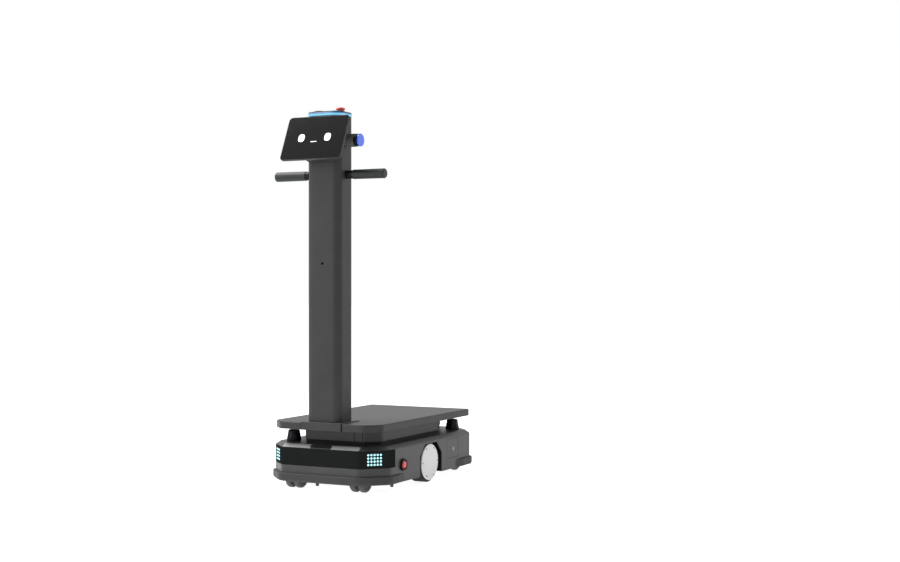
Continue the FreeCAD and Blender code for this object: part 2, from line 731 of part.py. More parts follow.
def lidars():
    """Scanners stand at the front right and the rear left corner, each with a dark window."""
    bases = []
    windows = []
    for name, x, y in (("front", "-lidar_x", "-lidar_y"), ("rear", "lidar_x", "lidar_y")):
        bases.append(turned(f"lidar_base_{name}", [
            ("0", "0"), ("lidar_radius", "0"), ("lidar_radius", "lidar_foot"), ("lidar_core", "lidar_foot"),
            ("lidar_core", "lidar_height - lidar_cap"), ("lidar_top_radius", "lidar_height - lidar_cap"),
            ("lidar_top_radius", "lidar_height - lidar_edge"),
            ("lidar_top_radius - lidar_edge", "lidar_height"), ("0", "lidar_height"),
        ], (x, y, "base_top_z")))
        windows.append(turned(f"lidar_window_{name}", [
            ("lidar_core + snug", "lidar_foot + snug"), ("lidar_radius", "lidar_foot + snug"),
            ("lidar_top_radius", "lidar_height - lidar_cap - snug"),
            ("lidar_core + snug", "lidar_height - lidar_cap - snug"),
        ], (x, y, "base_top_z")))
    node("lidar_bases", group("lidar_bases", *bases))
    node("lidar_windows", group("lidar_windows", *windows))


# Frame, batteries and electronics

def chassis_frame():
    """Steel sheet bent down between the castors, with the brackets that hold the swing arms."""
    floor_top = "(floor_z + sheet)"
    shelf_end = "(base_half_length - shelf_gap)"
    parts = [box("floor_sheet", ("-floor_half_width", "floor_half_width"),
                 ("-floor_half_length", "floor_half_length"), ("floor_z", floor_top))]
    for name, hand in (("front", "-"), ("rear", "")):
        near = f"{hand}(floor_half_length - sheet)"
        corner = "shelf_corner"
        parts.append(prism(f"shelf_{name}", "XY", "shelf_z", "shelf_z + sheet", [
            ("shelf_half_width", near),
            ("shelf_half_width", f"{hand}({shelf_end} - {corner})"),
            (f"shelf_half_width - {corner}", f"{hand}{shelf_end}"),
            (f"-shelf_half_width + {corner}", f"{hand}{shelf_end}"),
            ("-shelf_half_width", f"{hand}({shelf_end} - {corner})"),
            ("-shelf_half_width", near),
        ]))
        low = "-floor_half_length" if hand else "floor_half_length - sheet"
        parts.append(box(f"riser_{name}", ("-floor_half_width", "floor_half_width"),
                         (low, f"{low} + sheet"), ("floor_z", "shelf_z + sheet")))
        for side in ("-", ""):
            x = ("shelf_half_width - 1", "base_half_width - shell_wall")
            if side:
                x = tuple(f"-({end})" for end in reversed(x))
            y = ("floor_half_length + 52", "floor_half_length + 82")
            if hand:
                y = tuple(f"-({end})" for end in reversed(y))
            parts.append(box(f"tab_{name}{side or '+'}".replace("-", "_r").replace("+", "_l"),
                             x, y, ("shelf_z", "shelf_z + sheet")))
    for name, hand in (("front", "-"), ("rear", "")):
        parts.append(rod(f"lidar_post_{name}", "lidar_post", "z",
                         ("shelf_z + 1", "base_top_z - shell_wall"), (f"{hand}lidar_x", f"{hand}lidar_y")))
    inner = "(arm_x - bracket_gap - bracket_t)"
    outer = "(arm_x + arm_thickness + bracket_gap)"
    pivot_y = "(drive_y + arm_back)"
    spring_y = "(drive_y - arm_front)"
    for side in ("", "-"):
        def across(low, high, side=side):
            return (low, high) if not side else (f"-({high})", f"-({low})")
        tag = "right" if side else "left"
        parts += [
            box(f"arm_plate_{tag}", across(inner, f"{inner} + bracket_t"),
                (f"{spring_y} - spring_radius - 4", f"{pivot_y} + 18"), ("floor_z + 1", "spring_top_z + 5")),
            box(f"pin_plate_{tag}", across(outer, f"{outer} + bracket_t"),
                (f"{pivot_y} - 18", f"{pivot_y} + 18"), ("floor_z + 1", "drive_radius + 16")),
            box(f"spring_shelf_{tag}", across(f"{inner} + 1", f"{outer} + bracket_t"),
                (f"{spring_y} - spring_radius - 4", f"{spring_y} + spring_radius + 4"),
                ("spring_top_z", "spring_top_z + 5")),
            rod(f"arm_pin_{tag}", "pivot_radius", "x",
                across(f"{inner} + 1", f"{outer} + bracket_t - 1"), (pivot_y, "drive_radius")),
        ]
    node("chassis_frame", fuse("chassis_frame", *parts))


def packs():
    """Battery in front of the middle, control box behind it."""
    for name, low, high, top in (("battery_pack", "-pack_end", "-pack_gap", "pack_height"),
                                 ("control_box", "pack_gap", "pack_end", "pack_height - 10")):
        case = prism(name, "XY", "floor_z + sheet", f"floor_z + sheet + {top}",
                     rectangle(("-pack_half_width", "pack_half_width"), (low, high)))
        fillet(case, "6", upright)
        node(name, case)


def pedestal():
    """Posts that carry the deck, a cover round them and a rubber band under the cover."""
    shelf_top = "(shelf_z + sheet)"
    deck_under = "(deck_top_z - deck_wall)"
    parts = []
    for tag, x, y in (("a", "post_x", "-post_y"), ("b", "-post_x", "-post_y"),
                      ("c", "post_x", "post_y"), ("d", "-post_x", "post_y")):
        half = "post_side/2"
        tube = prism(f"deck_post_{tag}", "XY", shelf_top, deck_under,
                     rectangle((f"{x} - {half}", f"{x} + {half}"), (f"{y} - {half}", f"{y} + {half}")))
        inner = f"({half} - post_wall)"
        pocket(tube, "XY", f"{shelf_top} - 1", f"{deck_under} + 1",
               rectangle((f"{x} - {inner}", f"{x} + {inner}"), (f"{y} - {inner}", f"{y} + {inner}")))
        parts.append(tube)
    for tag, side in (("left", ""), ("right", "-")):
        x = f"{side}post_x"
        parts.append(box(f"deck_rail_{tag}", (f"{x} - post_side/2", f"{x} + post_side/2"),
                         ("-post_y + post_side/2 - 1", "post_y - post_side/2 + 1"),
                         (f"{deck_under} - 30", deck_under)))
    node("pedestal_frame", fuse("pedestal_frame", *parts))
    seal_top = "base_top_z + seal_height"
    cover = prism("pedestal_cover", "XY", seal_top, deck_under, pedestal_outline())
    pocket(cover, "XY", f"{seal_top} - 1", f"{deck_under} + 1", pedestal_outline("pedestal_wall"))
    pocket(cover, "XY", "deck_bottom_z", f"{deck_under} + 1",
           rectangle(("-plinth_half_width - snug", "plinth_half_width + snug"),
                     ("-pedestal_half_length - 5", "-plinth_rear + snug")))
    node("pedestal_cover", cover)
    seal = prism("pedestal_seal", "XY", "base_top_z", seal_top, pedestal_outline("seal_inset"))
    pocket(seal, "XY", "base_top_z - 1", f"{seal_top} + 1", pedestal_outline("(seal_inset + 6)"))
    node("pedestal_seal", seal)


def deck_outline(inset="0"):
    w = f"(deck_half_width - {inset})"
    front = f"(deck_front - {inset})"
    rear = f"(deck_rear - {inset})"
    c = f"(deck_corner - {CORNER_SHARE}*{inset})"
    return [
        (f"{w} - {c}", f"-{front}"), (w, f"-{front} + {c}"), (w, rear), (f"-{w}", rear),
        (f"-{w}", f"-{front} + {c}"), (f"-{w} + {c}", f"-{front}"),
    ]


def deck_plate():
    """A pan that is open below, with a cut-out for the plinth and four fixing holes."""
    deck = prism("deck_plate", "XY", "deck_bottom_z", "deck_top_z", deck_outline())
    fillet(deck, "deck_round", lambda a, b: upright(a, b) and a.y < 0)
    fillet(deck, "deck_rear_round", lambda a, b: upright(a, b) and a.y > 0)
    fillet(deck, "deck_edge", level("deck_top_z"))
    pocket(deck, "XY", "deck_bottom_z - 1", "deck_top_z - deck_wall", deck_outline("(deck_wall + 1)"))
    pocket(deck, "XY", "deck_bottom_z - 1", "deck_top_z + 1",
           rectangle(("-plinth_half_width - snug", "plinth_half_width + snug"),
                     ("-deck_front - 5", "-plinth_rear + snug")))
    holes = [("circle", f"{a}deck_hole_x/2", f"deck_hole_middle {b} deck_hole_y/2", "deck_hole_radius")
             for a in ("", "-") for b in ("+", "-")]
    pocket(deck, "XY", "deck_top_z - deck_wall - 1", "deck_top_z + 1", *holes)
    node("deck_plate", deck)


def plinth():
    """The raised block at the deck's front that the column stands on."""
    top = "(deck_top_z + plinth_rise)"
    block = prism("column_plinth", "XY", "deck_bottom_z", top,
                  rectangle(("-plinth_half_width", "plinth_half_width"), ("-plinth_front", "-plinth_rear")))
    fillet(block, "2.5", level(top))
    inner = "plinth_half_width - plinth_wall"
    pocket(block, "XY", "deck_bottom_z - 1", f"{top} - plinth_wall",
           rectangle((f"-({inner})", inner), ("-plinth_front + plinth_wall", "-plinth_rear - plinth_wall")))
    half = "foot_post/2"
    leg_y = "(-plinth_rear - plinth_wall - foot_post/2)"
    leg = prism("column_leg", "XY", "shelf_z + sheet", f"{top} - plinth_wall",
                rectangle((f"-{half}", half), (f"{leg_y} - {half}", f"{leg_y} + {half}")))
    bore = f"({half} - post_wall)"
    pocket(leg, "XY", "shelf_z + sheet - 1", f"{top}",
           rectangle((f"-{bore}", bore), (f"{leg_y} - {bore}", f"{leg_y} + {bore}")))
    node("column_plinth", fuse("plinth_and_leg", block, leg))


# Column

def column_section(made, low, high, inset):
    """Pad the column's rounded rectangle, grown by a negative inset."""
    half_width = f"(column_width/2 - {inset})"
    half_depth = f"(column_depth/2 - {inset})"
    pad(made, "XY", low, high, rectangle((f"-{half_width}", half_width),
                                         (f"column_y - {half_depth}", f"column_y + {half_depth}")))
    fillet(made, f"column_round - {inset}", upright)
    return made


def column_tube():
    foot = "deck_top_z + plinth_rise"
    tube = column_section(body("column_outside"), foot, "column_top_z", "0")
    core = column_section(body("column_inside"), f"{foot} - 1", "column_top_z + 1", "column_wall")
    front = "(column_y - column_depth/2)"
    boss = rod("socket_boss", "socket_boss", "y", (f"{front} + 1", f"{front} + socket_length"),
               ("0", "socket_z"))
    thread = rod("socket_thread", "socket_radius", "y",
                 (f"{front} - 5", f"{front} + socket_length + 5"), ("0", "socket_z"))
    bar_hole = rod("bar_hole", "handle_bar_radius + snug", "x",
                   ("-column_width", "column_width"), ("column_y", "handle_z"))
    cable_hole = rod("call_cable_hole", "call_cable", "x",
                     ("column_width/4", "column_width"), ("column_y", "call_z"))
    hollow = cut("column_hollow", tube, core)
    node("column_tube", cut("column_tube", fuse("column_with_boss", hollow, boss),
                            thread, bar_hole, cable_hole))


def light_ring():
    ring_top = "column_top_z + ring_height"
    ring = column_section(body("ring_outside"), "column_top_z", ring_top, "(0 - ring_proud)")
    hole = column_section(body("ring_inside"), "column_top_z - 1", f"{ring_top} + 1",
                          "(ring_band - ring_proud)")
    node("light_ring", cut("light_ring", ring, hole))


def column_cap():
    """A lid over the light ring, with a plug that centres it and a hole for the stop button."""
    ring_top = "column_top_z + ring_height"
    lid = column_section(body("cap_lid"), ring_top, "cap_z", "0")
    fillet(lid, "cap_edge", level("cap_z"))
    plug = column_section(body("cap_plug"), "cap_z - cap_plug - 3", f"{ring_top} + 1",
                          "(ring_band - ring_proud + snug)")
    hole = rod("cap_hole", "stop_collar", "z", ("column_top_z - 40", "cap_z + 5"),
               ("top_item_x", "column_y"))
    node("column_cap", cut("column_cap", fuse("cap_block", lid, plug), hole))


def mushroom(radius, low, height):
    """The head of a stop button: a rounded disc, from its underside's rim to the middle of its top."""
    top = f"{low} + {height}"
    return [
        (f"{radius} - {height}/8", low), (radius, f"{low} + {height}/8"), (radius, f"{top} - {height}/3"),
        (f"{radius} - {height}/7", f"{top} - {height}/8"), (f"{radius} - {height}*0.4", f"{top} - {height}/32"),
        (f"{radius} - {height}*0.7", top), ("0", top),
    ]


def top_items():
    """Ceiling camera and stop button on the cap."""
    edge = "top_camera_radius"
    node("ceiling_camera", turned("ceiling_camera", [
        ("0", "0"), (edge, "0"), (edge, "top_camera_height - 2"), (f"{edge} - 2", "top_camera_height"),
        (f"{edge} - 8", "top_camera_height"), (f"{edge} - 9", "top_camera_height - 1"),
        ("6.5", "top_camera_height - 1"), ("5", "top_camera_height + 0.4"), ("0", "top_camera_height + 0.8"),
    ], ("-top_item_x", "column_y", "cap_z")))
    node("top_stop_collar", turned("top_stop_collar", [
        ("stop_skirt + running", "-stop_depth"), ("stop_collar - snug", "-stop_depth"),
        ("stop_collar - snug", "0"), ("stop_collar + stop_flange", "0"),
        ("stop_collar + stop_flange", "stop_flange_height/2"),
        ("stop_collar + stop_flange/2", "stop_flange_height"), ("stop_skirt + running", "stop_flange_height"),
    ], ("top_item_x", "column_y", "cap_z")))
    under = "(stop_flange_height + stop_travel + slack)"
    node("top_stop_button", turned("top_stop_button", [
        ("0", "stop_travel - stop_depth"), ("stop_skirt", "stop_travel - stop_depth"), ("stop_skirt", under),
        *mushroom("stop_radius", under, "stop_head"),
    ], ("top_item_x", "column_y", "cap_z")))


# Display, handles and call button

def on_slope(up, deep):
    """A point (y, z) of the display, up its slope from the middle and behind its front."""
    return (f"display_y + ({up})*sin(display_tilt) + ({deep})*cos(display_tilt)",
            f"display_z + ({up})*cos(display_tilt) - ({deep})*sin(display_tilt)")


def lean_back(thing):
    """Stand a piece that is drawn facing -Y onto the display's slope."""
    place(thing, "0", "display_y", "display_z", turn=Rotation(Vector(-1, 0, 0), value("display_tilt")))
    bind(thing, "Placement.Rotation.Angle", "display_tilt")
    return thing


def slab(name, inset, low, high):
    """A rounded upright slab; its corners are rounded along Y."""
    half_width = f"(display_width/2 - {inset})"
    half_height = f"(display_height/2 - {inset})"
    made = prism(name, "XZ", low, high,
                 rectangle((f"-{half_width}", half_width), (f"-{half_height}", half_height)))
    fillet(made, f"display_corner - {inset}",
           lambda a, b: abs(a.x - b.x) < NEAR and abs(a.z - b.z) < NEAR)
    return made


def display():
    housing = slab("display_housing", "0", "0", "display_depth")
    back = value("display_depth")
    chamfer(housing, "5", lambda a, b: abs(a.y - back) < NEAR and abs(b.y - back) < NEAR)
    seat = slab("display_seat", "display_border", "-5", "display_glass")
    node("display_shell", lean_back(cut("display_shell", housing, seat)))
    glass = slab("display_glass", "(display_border + snug)", "0", "display_glass")
    node("display_glass", lean_back(glass))
    neck = prism("neck_block", "YZ", "-neck_half_width", "neck_half_width", [
        on_slope("neck_up", "display_depth"), on_slope("-neck_down", "display_depth"),
        ("column_y - 20", "display_z - neck_down - 24"), ("column_y - 20", "display_z + neck_up - 6"),
    ])
    side = value("neck_half_width")
    rim = value("column_y - column_depth/2 - 2")
    fillet(neck, "neck_edge", lambda a, b: abs(abs(a.x) - side) < NEAR and abs(a.x - b.x) < NEAR
           and (a.y < rim) != (b.y < rim))
    tube = column_section(body("neck_tube"), "display_z - 200", "display_z + 200", "(0 - snug)")
    node("display_neck", cut("display_neck", neck, tube))


def handles():
    """A bar through the column with a grip on each end."""
    bar_end = "(handle_end - 6)"
    node("handle_bar", rod("handle_bar", "handle_bar_radius", "x", (f"-{bar_end}", bar_end),
                           ("column_y", "handle_z")))
    bore = "handle_bar_radius + snug"
    length = "handle_end - grip_start"
    grip = turned("left_grip", [
        (bore, "0"), ("grip_radius - grip_edge", "0"), ("grip_radius - grip_edge*0.3", "grip_edge*0.3"),
        ("grip_radius", "grip_edge"), ("grip_radius", f"{length} - grip_edge"),
        ("grip_radius - grip_edge*0.3", f"{length} - grip_edge*0.3"),
        ("grip_radius - grip_edge", length), ("0", length), ("0", f"{length} - 6 + snug"),
        (bore, f"{length} - 6 + snug"),
    ], ("grip_start", "column_y", "handle_z"), "x")
    node("left_grip", grip)
    node("right_grip", mirrored("right_grip", grip), shifted=True)
    collar = turned("handle_collar_left", [
        (bore, "0"), ("handle_collar_radius", "0"), ("handle_collar_radius", "grip_start - column_width/2 - 2"),
        ("handle_collar_radius - 2", "grip_start - column_width/2"), (bore, "grip_start - column_width/2"),
    ], ("column_width/2", "column_y", "handle_z"), "x")
    node("handle_collars", group("handle_collars", collar, mirrored("handle_collar_right", collar)))


def call_button():
    """A grey housing on the column's left side, a black collar and a sprung blue cap."""
    start = "column_width/2"
    depth = f"(call_housing_end - {start})"
    node("call_button_housing", turned("call_button_housing", [
        ("call_cable", "0"), ("call_radius", "0"), ("call_radius", f"{depth} - call_edge"),
        ("call_radius - call_edge", depth), ("call_stem + slack", depth),
        ("call_stem + slack", f"{depth} - call_bore"), ("call_cable", f"{depth} - call_bore"),
    ], (start, "column_y", "call_z"), "x"))
    ring = "(call_collar_end - call_housing_end)"
    node("call_button_collar", turned("call_button_collar", [
        ("call_stem + running", "0"), ("call_radius - call_edge", "0"),
        ("call_radius - call_edge", f"{ring} - call_edge"), ("call_radius - 2*call_edge", ring),
        ("call_stem + running", ring),
    ], ("call_housing_end", "column_y", "call_z"), "x"))
    under = f"({ring} + call_travel + slack)"
    node("call_button", turned("call_button", [
        ("0", "-call_stem_depth"), ("call_stem", "-call_stem_depth"), ("call_stem", under),
        ("call_cap_radius", under), ("call_cap_radius", f"{under} + call_cap_height - 2*call_edge"),
        ("call_cap_radius - 2*call_edge", f"{under} + call_cap_height"), ("0", f"{under} + call_cap_height"),
    ], ("call_housing_end", "column_y", "call_z"), "x"))


def side_stops():
    """Stop buttons in cups that sink them into the base's sides."""
    cup = turned("side_stop_cup_left", [
        ("stop_stem + running", "-cup_depth - cup_floor"), ("side_stop_cup", "-cup_depth - cup_floor"),
        ("side_stop_cup", "0"), ("side_stop_cup + cup_rim", "0"),
        ("side_stop_cup + cup_rim", "cup_rim_height/2"), ("side_stop_cup + cup_rim/2", "cup_rim_height"),
        ("side_stop_cup - cup_wall + cup_rim_height/2", "cup_rim_height"),
        ("side_stop_cup - cup_wall", "cup_rim_height/2"),
        ("side_stop_cup - cup_wall", "-cup_depth"), ("stop_stem + running", "-cup_depth"),
    ], ("base_half_width", "side_stop_y", "side_stop_z"), "x")
    node("side_stop_cups", group("side_stop_cups", cup, mirrored("side_stop_cup_right", cup)))
    low = "(side_stop_out - side_stop_head)"
    head = turned("left_stop_button", [
        ("0", "-cup_depth - side_stem_end"), ("stop_stem", "-cup_depth - side_stem_end"), ("stop_stem", low),
        *mushroom("side_stop_radius", low, "side_stop_head"),
    ], ("base_half_width", "side_stop_y", "side_stop_z"), "x")
    node("left_stop_button", head)
    node("right_stop_button", mirrored("right_stop_button", head), shifted=True)


# Hatch, charging contacts and floor sensors

def hatch():
    """A door with a rounded hinge edge on two pins, and a turning latch."""
    inner = "(base_half_width - shell_wall)"
    panel = box("hatch_panel", (inner, "base_half_width"), ("hatch_y_low", "hinge_y"),
                ("hatch_z_low", "hatch_z_high"))
    edge = rod("hatch_edge", "shell_wall/2", "z", ("hatch_z_low", "hatch_z_high"), ("hinge_x", "hinge_y"))
    pins = rod("hatch_pins", "hinge_radius", "z", ("hatch_z_low - hinge_length", "hatch_z_high + hinge_length"),
               ("hinge_x", "hinge_y"))
    barrel_hole = rod("latch_hole", "latch_radius + running", "x", (f"{inner} - 5", "base_half_width + 5"),
                      ("latch_y", "latch_z"))
    node("hatch_door", cut("hatch_door", fuse("hatch_plate", panel, edge, pins), barrel_hole))
    barrel = rod("latch_barrel", "latch_radius", "x", (f"{inner} - 6", "base_half_width + 0.6"),
                 ("latch_y", "latch_z"))
    head = rod("latch_face", "latch_head", "x", ("base_half_width + snug", "base_half_width + 1.6"),
               ("latch_y", "latch_z"))
    tongue = box("latch_tongue", (f"{inner} - 6", f"{inner} - 3"), ("latch_y - 4", "latch_y + 4"),
                 ("latch_z - 16", "latch_z"))
    slot = box("latch_slot", ("base_half_width + 0.9", "base_half_width + 5"),
               ("latch_y - 0.9", "latch_y + 0.9"), ("latch_z - 4.5", "latch_z + 4.5"))
    node("hatch_latch", cut("hatch_latch", fuse("latch_body", barrel, head, tongue), slot))


def charge_contacts():
    """A block in the rear wall with two metal strips."""
    block = box("charge_block", ("-charge_half_width", "charge_half_width"),
                ("base_half_length - charge_depth", "base_half_length"),
                ("charge_z - charge_half_height", "charge_z + charge_half_height"))
    strips = [box(f"charge_strip_{tag}", (low, high), ("base_half_length - 1", "base_half_length + 1"),
                  ("charge_z - charge_half_height + 6", "charge_z + charge_half_height - 6"))
              for tag, low, high in (("left", "12", "charge_half_width - 8"),
                                     ("right", "-charge_half_width + 8", "-12"))]
    node("charge_contacts", fuse("charge_contacts", block, *strips))


def floor_sensors():
    """Pods under the skirt that look for edges in the floor."""
    spots = (("left", "sensor_side_x", "sensor_side_y"), ("right", "-sensor_side_x", "sensor_side_y"),
             ("front", "-sensor_end_x", "-sensor_end_y"), ("rear", "sensor_end_x", "sensor_end_y"))
    pods = []
    for tag, x, y in spots:
        pod = turned(f"sensor_pod_{tag}", [
            ("0", "-sensor_drop"), ("sensor_radius - sensor_edge", "-sensor_drop"),
            ("sensor_radius", "-sensor_drop + sensor_edge"), ("sensor_radius", "0"), ("0", "0"),
        ], (x, y, "skirt_z"))
        pods.append(pod)
    node("floor_sensors", group("floor_sensors", *pods))


# Drive wheels

def wheel_wells():
    """Liners that close the base round the drive wheels, open outwards and below."""
    def profile(wall, bottom):
        return [
            (f"drive_y - well_half_width + {wall}", bottom), (f"drive_y + well_half_width - {wall}", bottom),
            (f"drive_y + well_half_width - {wall}", "well_shoulder_z"),
            (f"drive_y + well_top_half_width - {wall}", f"base_top_z - shell_wall - {wall}"),
            (f"drive_y - well_top_half_width + {wall}", f"base_top_z - shell_wall - {wall}"),
            (f"drive_y - well_half_width + {wall}", "well_shoulder_z"),
        ]
    outer = "base_half_width - shell_wall"
    liner = prism("wheel_well_left", "YZ", "well_x", outer, profile("0", "skirt_z"))
    pocket(liner, "YZ", "well_x + well_wall", f"{outer} + 1", profile("well_wall", "skirt_z - 1"))
    pocket(liner, "YZ", "well_x - 1", "well_x + well_wall + 1",
           ("circle", "drive_y", "drive_radius", "well_hole"))
    slope = "(bevel_height/bevel_width)"
    drop = f"shell_wall*sqrt(1 + {slope}*{slope})"
    under_bevel = prism("well_trim", "XZ", "drive_y - well_half_width - 5", "drive_y + well_half_width + 5", [
        ("base_half_width + 5", "base_top_z"),
        (f"base_half_width - (bevel_height + {drop})/{slope}", "base_top_z"),
        ("base_half_width + 5", f"base_top_z - bevel_height - 5*{slope} - {drop}"),
    ])
    liner = cut("wheel_well_trimmed", liner, under_bevel)
    node("wheel_wells", group("wheel_wells", liner, mirrored("wheel_well_right", liner)))


def both_sides(name, thing):
    """Register a left piece and its mirror image on the right."""
    node("left_" + name, thing)
    node("right_" + name, mirrored("right_" + name, thing), shifted=True)


def drive_wheels():
    width = "(wheel_outer_x - wheel_inner_x)"
    place_at = ("wheel_inner_x", "drive_y", "drive_radius")
    both_sides("tyre", turned("left_tyre", [
        ("hub_radius + snug", "0"), ("drive_radius - tyre_edge", "0"), ("drive_radius - 1", "tyre_edge - 1"),
        ("drive_radius", "tyre_edge + 2"), ("drive_radius", f"{width} - tyre_edge - 2"),
        ("drive_radius - 1", f"{width} - tyre_edge + 1"), ("drive_radius - tyre_edge", width),
        ("hub_radius + snug", width),
    ], place_at, "x"))
    both_sides("hub", turned("left_hub", [
        ("axle_radius + running", "0"), ("hub_radius - 14", "0"), ("hub_radius - 12", "3"),
        ("hub_radius - 3", "3"), ("hub_radius", "6"), ("hub_radius", width), ("0", width),
        ("0", "axle_reach + 2"), ("axle_radius + running", "axle_reach + 2"),
    ], place_at, "x"))
    cover = turned("left_wheel_cover", [
        ("0", "0"), ("disc_radius", "0"), ("disc_radius", "disc_thickness - 2"),
        ("disc_radius - 1.5", "disc_thickness - 0.6"), ("disc_radius - 5", "disc_thickness"),
        ("0", "disc_thickness"),
    ], ("wheel_outer_x", "drive_y", "drive_radius"), "x")
    sketch = sketch_on(cover, "XY", "disc_thickness", ("circle", "disc_screw_circle", "0", "disc_screw_radius"))
    screw_hole = cover.newObject("PartDesign::Pocket", "cover_screw_hole")
    screw_hole.Profile = sketch
    bind(screw_hole, "Length", "disc_screw_depth")
    doc.recompute()
    ring = cover.newObject("PartDesign::PolarPattern", "cover_screw_ring")
    ring.Originals = [screw_hole]
    ring.Axis = (sketch, ["N_Axis"])
    ring.Angle = 360
    bind(ring, "Occurrences", "disc_screws")
    cover.Tip = ring
    doc.recompute()
    both_sides("wheel_cover", cover)


def swing_arms():
    """Each arm pivots behind the wheel, carries its axle and is pressed down by a spring."""
    pivot_y = "(drive_y + arm_back)"
    spring_y = "(drive_y - arm_front)"
    high = "(drive_radius + arm_half_height)"
    low = "(drive_radius - arm_half_height)"
    arm = prism("arm_blade", "YZ", "arm_x", "arm_x + arm_thickness", [
        (f"{spring_y} - 16", f"{high} - 4"), (f"{spring_y} - 16", f"{high} - 14"),
        ("drive_y - 16", low), ("drive_y + 16", low), (f"{pivot_y} + 2", f"{low} + 4"),
        (f"{pivot_y} + 14", "drive_radius - 6"), (f"{pivot_y} + 14", "drive_radius + 6"),
        (f"{pivot_y} + 2", f"{high} - 4"), (f"{spring_y} + 26", f"{high} - 4"),
    ])
    pocket(arm, "YZ", "arm_x - 1", "arm_x + arm_thickness + 1",
           ("circle", pivot_y, "drive_radius", "pivot_radius + running"))
    axle = rod("drive_axle", "axle_radius", "x", ("arm_x + 1", "wheel_inner_x + axle_reach"),
               ("drive_y", "drive_radius"))
    collar = rod("axle_collar", "axle_radius + 5", "x", ("arm_x + 1", "wheel_inner_x - 4"),
                 ("drive_y", "drive_radius"))
    both_sides("swing_arm", fuse("left_swing_arm", arm, axle, collar))


def springs():
    """Square-wire springs between each arm and its bracket."""
    seat = "(drive_radius + arm_half_height - 4)"
    spring = body("left_spring")
    sketch = sketch_on(spring, "XZ", "0", [
        ("spring_radius - spring_wire", "0"), ("spring_radius", "0"), ("spring_radius", "spring_wire"),
        ("spring_radius - spring_wire", "spring_wire")])
    coil = spring.newObject("PartDesign::AdditiveHelix", "spring_coil")
    coil.Profile = sketch
    coil.ReferenceAxis = (sketch, ["V_Axis"])
    coil.Mode = "height-turns-angle"
    bind(coil, "Height", f"spring_top_z - {seat} - spring_wire")
    bind(coil, "Turns", "spring_turns")
    doc.recompute()
    place(spring, "arm_x + arm_thickness/2", "drive_y - arm_front", seat)
    both_sides("spring", spring)


# Castors

# Place of each castor, and how far it has swivelled in degrees
CASTORS = {
    "front_left": ("castor_front_x", "castor_front_y", 0),
    "front_right": ("-castor_front_x", "castor_front_y", 0),
    "rear_left": ("castor_rear_x", "castor_rear_y", 180),
    "rear_right": ("-castor_rear_x", "castor_rear_y", 180),
}


def castors():
    """Twin-wheel castors: a swivelling body with a wheel on each side of it."""
    plates = []
    half_web = "castor_web/2"
    axle_z = "castor_radius"
    reach = "(castor_gap/2 + castor_width)"
    for name, (x, y, angle) in CASTORS.items():
        swivel = Rotation(Vector(0, 0, 1), angle)
        flange_z = "(castor_top_z - 4)"
        web = prism(f"castor_web_{name}", "YZ", f"-{half_web}", half_web, [
            ("-castor_trail - 9", f"{axle_z} - 6"), ("-castor_trail", f"{axle_z} - 10"),
            ("-castor_trail + 9", f"{axle_z} - 6"), ("9", flange_z), ("-castor_trail - 2", flange_z),
            ("-castor_trail - 10", f"{axle_z} + 12"),
        ])
        flange = rod(f"castor_flange_{name}", "castor_flange", "z", (f"{flange_z} - 1", "castor_top_z"), ("0", "0"))
        stem = rod(f"castor_stem_{name}", "castor_stem", "z",
                   ("castor_top_z - 2", "castor_top_z + castor_plate_t"), ("0", "0"))
        pin = rod(f"castor_pin_{name}", "castor_axle", "x", (f"-{reach} + 2", f"{reach} - 2"),
                  ("-castor_trail", axle_z))
        yoke = fuse(f"castor_{name}", web, flange, stem, pin)
        node(f"castor_{name}", place(yoke, x, y, turn=swivel))
        wheels = []
        for hand, tag in (("x", "outer"), ("-x", "inner")):
            wheel = turned(f"castor_wheel_{name}_{tag}", [
                ("castor_axle + running", "0"), ("castor_radius - 5", "0"), ("castor_radius - 1.5", "1.5"),
                ("castor_radius", "5"), ("castor_radius", "castor_width - 5"),
                ("castor_radius - 1.5", "castor_width - 1.5"), ("castor_radius - 5", "castor_width"),
                ("castor_radius - 11", "castor_width"), ("castor_radius - 13", "castor_width - 2"),
                ("castor_axle + running", "castor_width - 2"),
            ], ("castor_gap/2" if hand == "x" else "-castor_gap/2", "-castor_trail", axle_z), hand)
            wheels.append(wheel)
        node(f"castor_wheels_{name}", place(group(f"castor_wheels_{name}", *wheels), x, y, turn=swivel))
        half = "castor_plate/2"
        plate_z = "(castor_top_z + slack)"
        plate = prism(f"castor_plate_{name}", "XY", plate_z, f"{plate_z} + castor_plate_t",
                      rectangle((f"-{half}", half), (f"-{half}", half)))
        fillet(plate, "6", upright)
        pocket(plate, "XY", f"{plate_z} - 1", f"{plate_z} + castor_plate_t + 1",
               ("circle", "0", "0", "castor_stem + running"))
        plates.append(place(plate, x, y))
    node("castor_plates", group("castor_plates", *plates))


def write_parts():
    """Check every object and every sub-part, then write one STEP file for each."""
    doc.recompute()
    for thing in doc.Objects:
        for state in ("Invalid", "Error"):
            if state in thing.State:
                raise RuntimeError(f"{thing.Name} is {state}")
    os.makedirs("parts", exist_ok=True)
    for name, thing in nodes.items():
        shape = thing.Shape
        if shape.isNull() or not shape.isValid() or not shape.Solids:
            raise RuntimeError(f"{name} has no valid solid")
        shape.exportStep(f"parts/{name}.step")


body_shell()
front_visor()
headlight_lenses()
front_camera()
bumper("front_bumper", True)
bumper("rear_bumper", False)
lidars()
chassis_frame()
packs()
pedestal()
deck_plate()
plinth()
column_tube()
light_ring()
column_cap()
top_items()
display()
handles()
call_button()
side_stops()
hatch()
charge_contacts()
floor_sensors()
wheel_wells()
drive_wheels()
swing_arms()
springs()
castors()
write_parts()
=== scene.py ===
import math
from collections import namedtuple
from types import SimpleNamespace

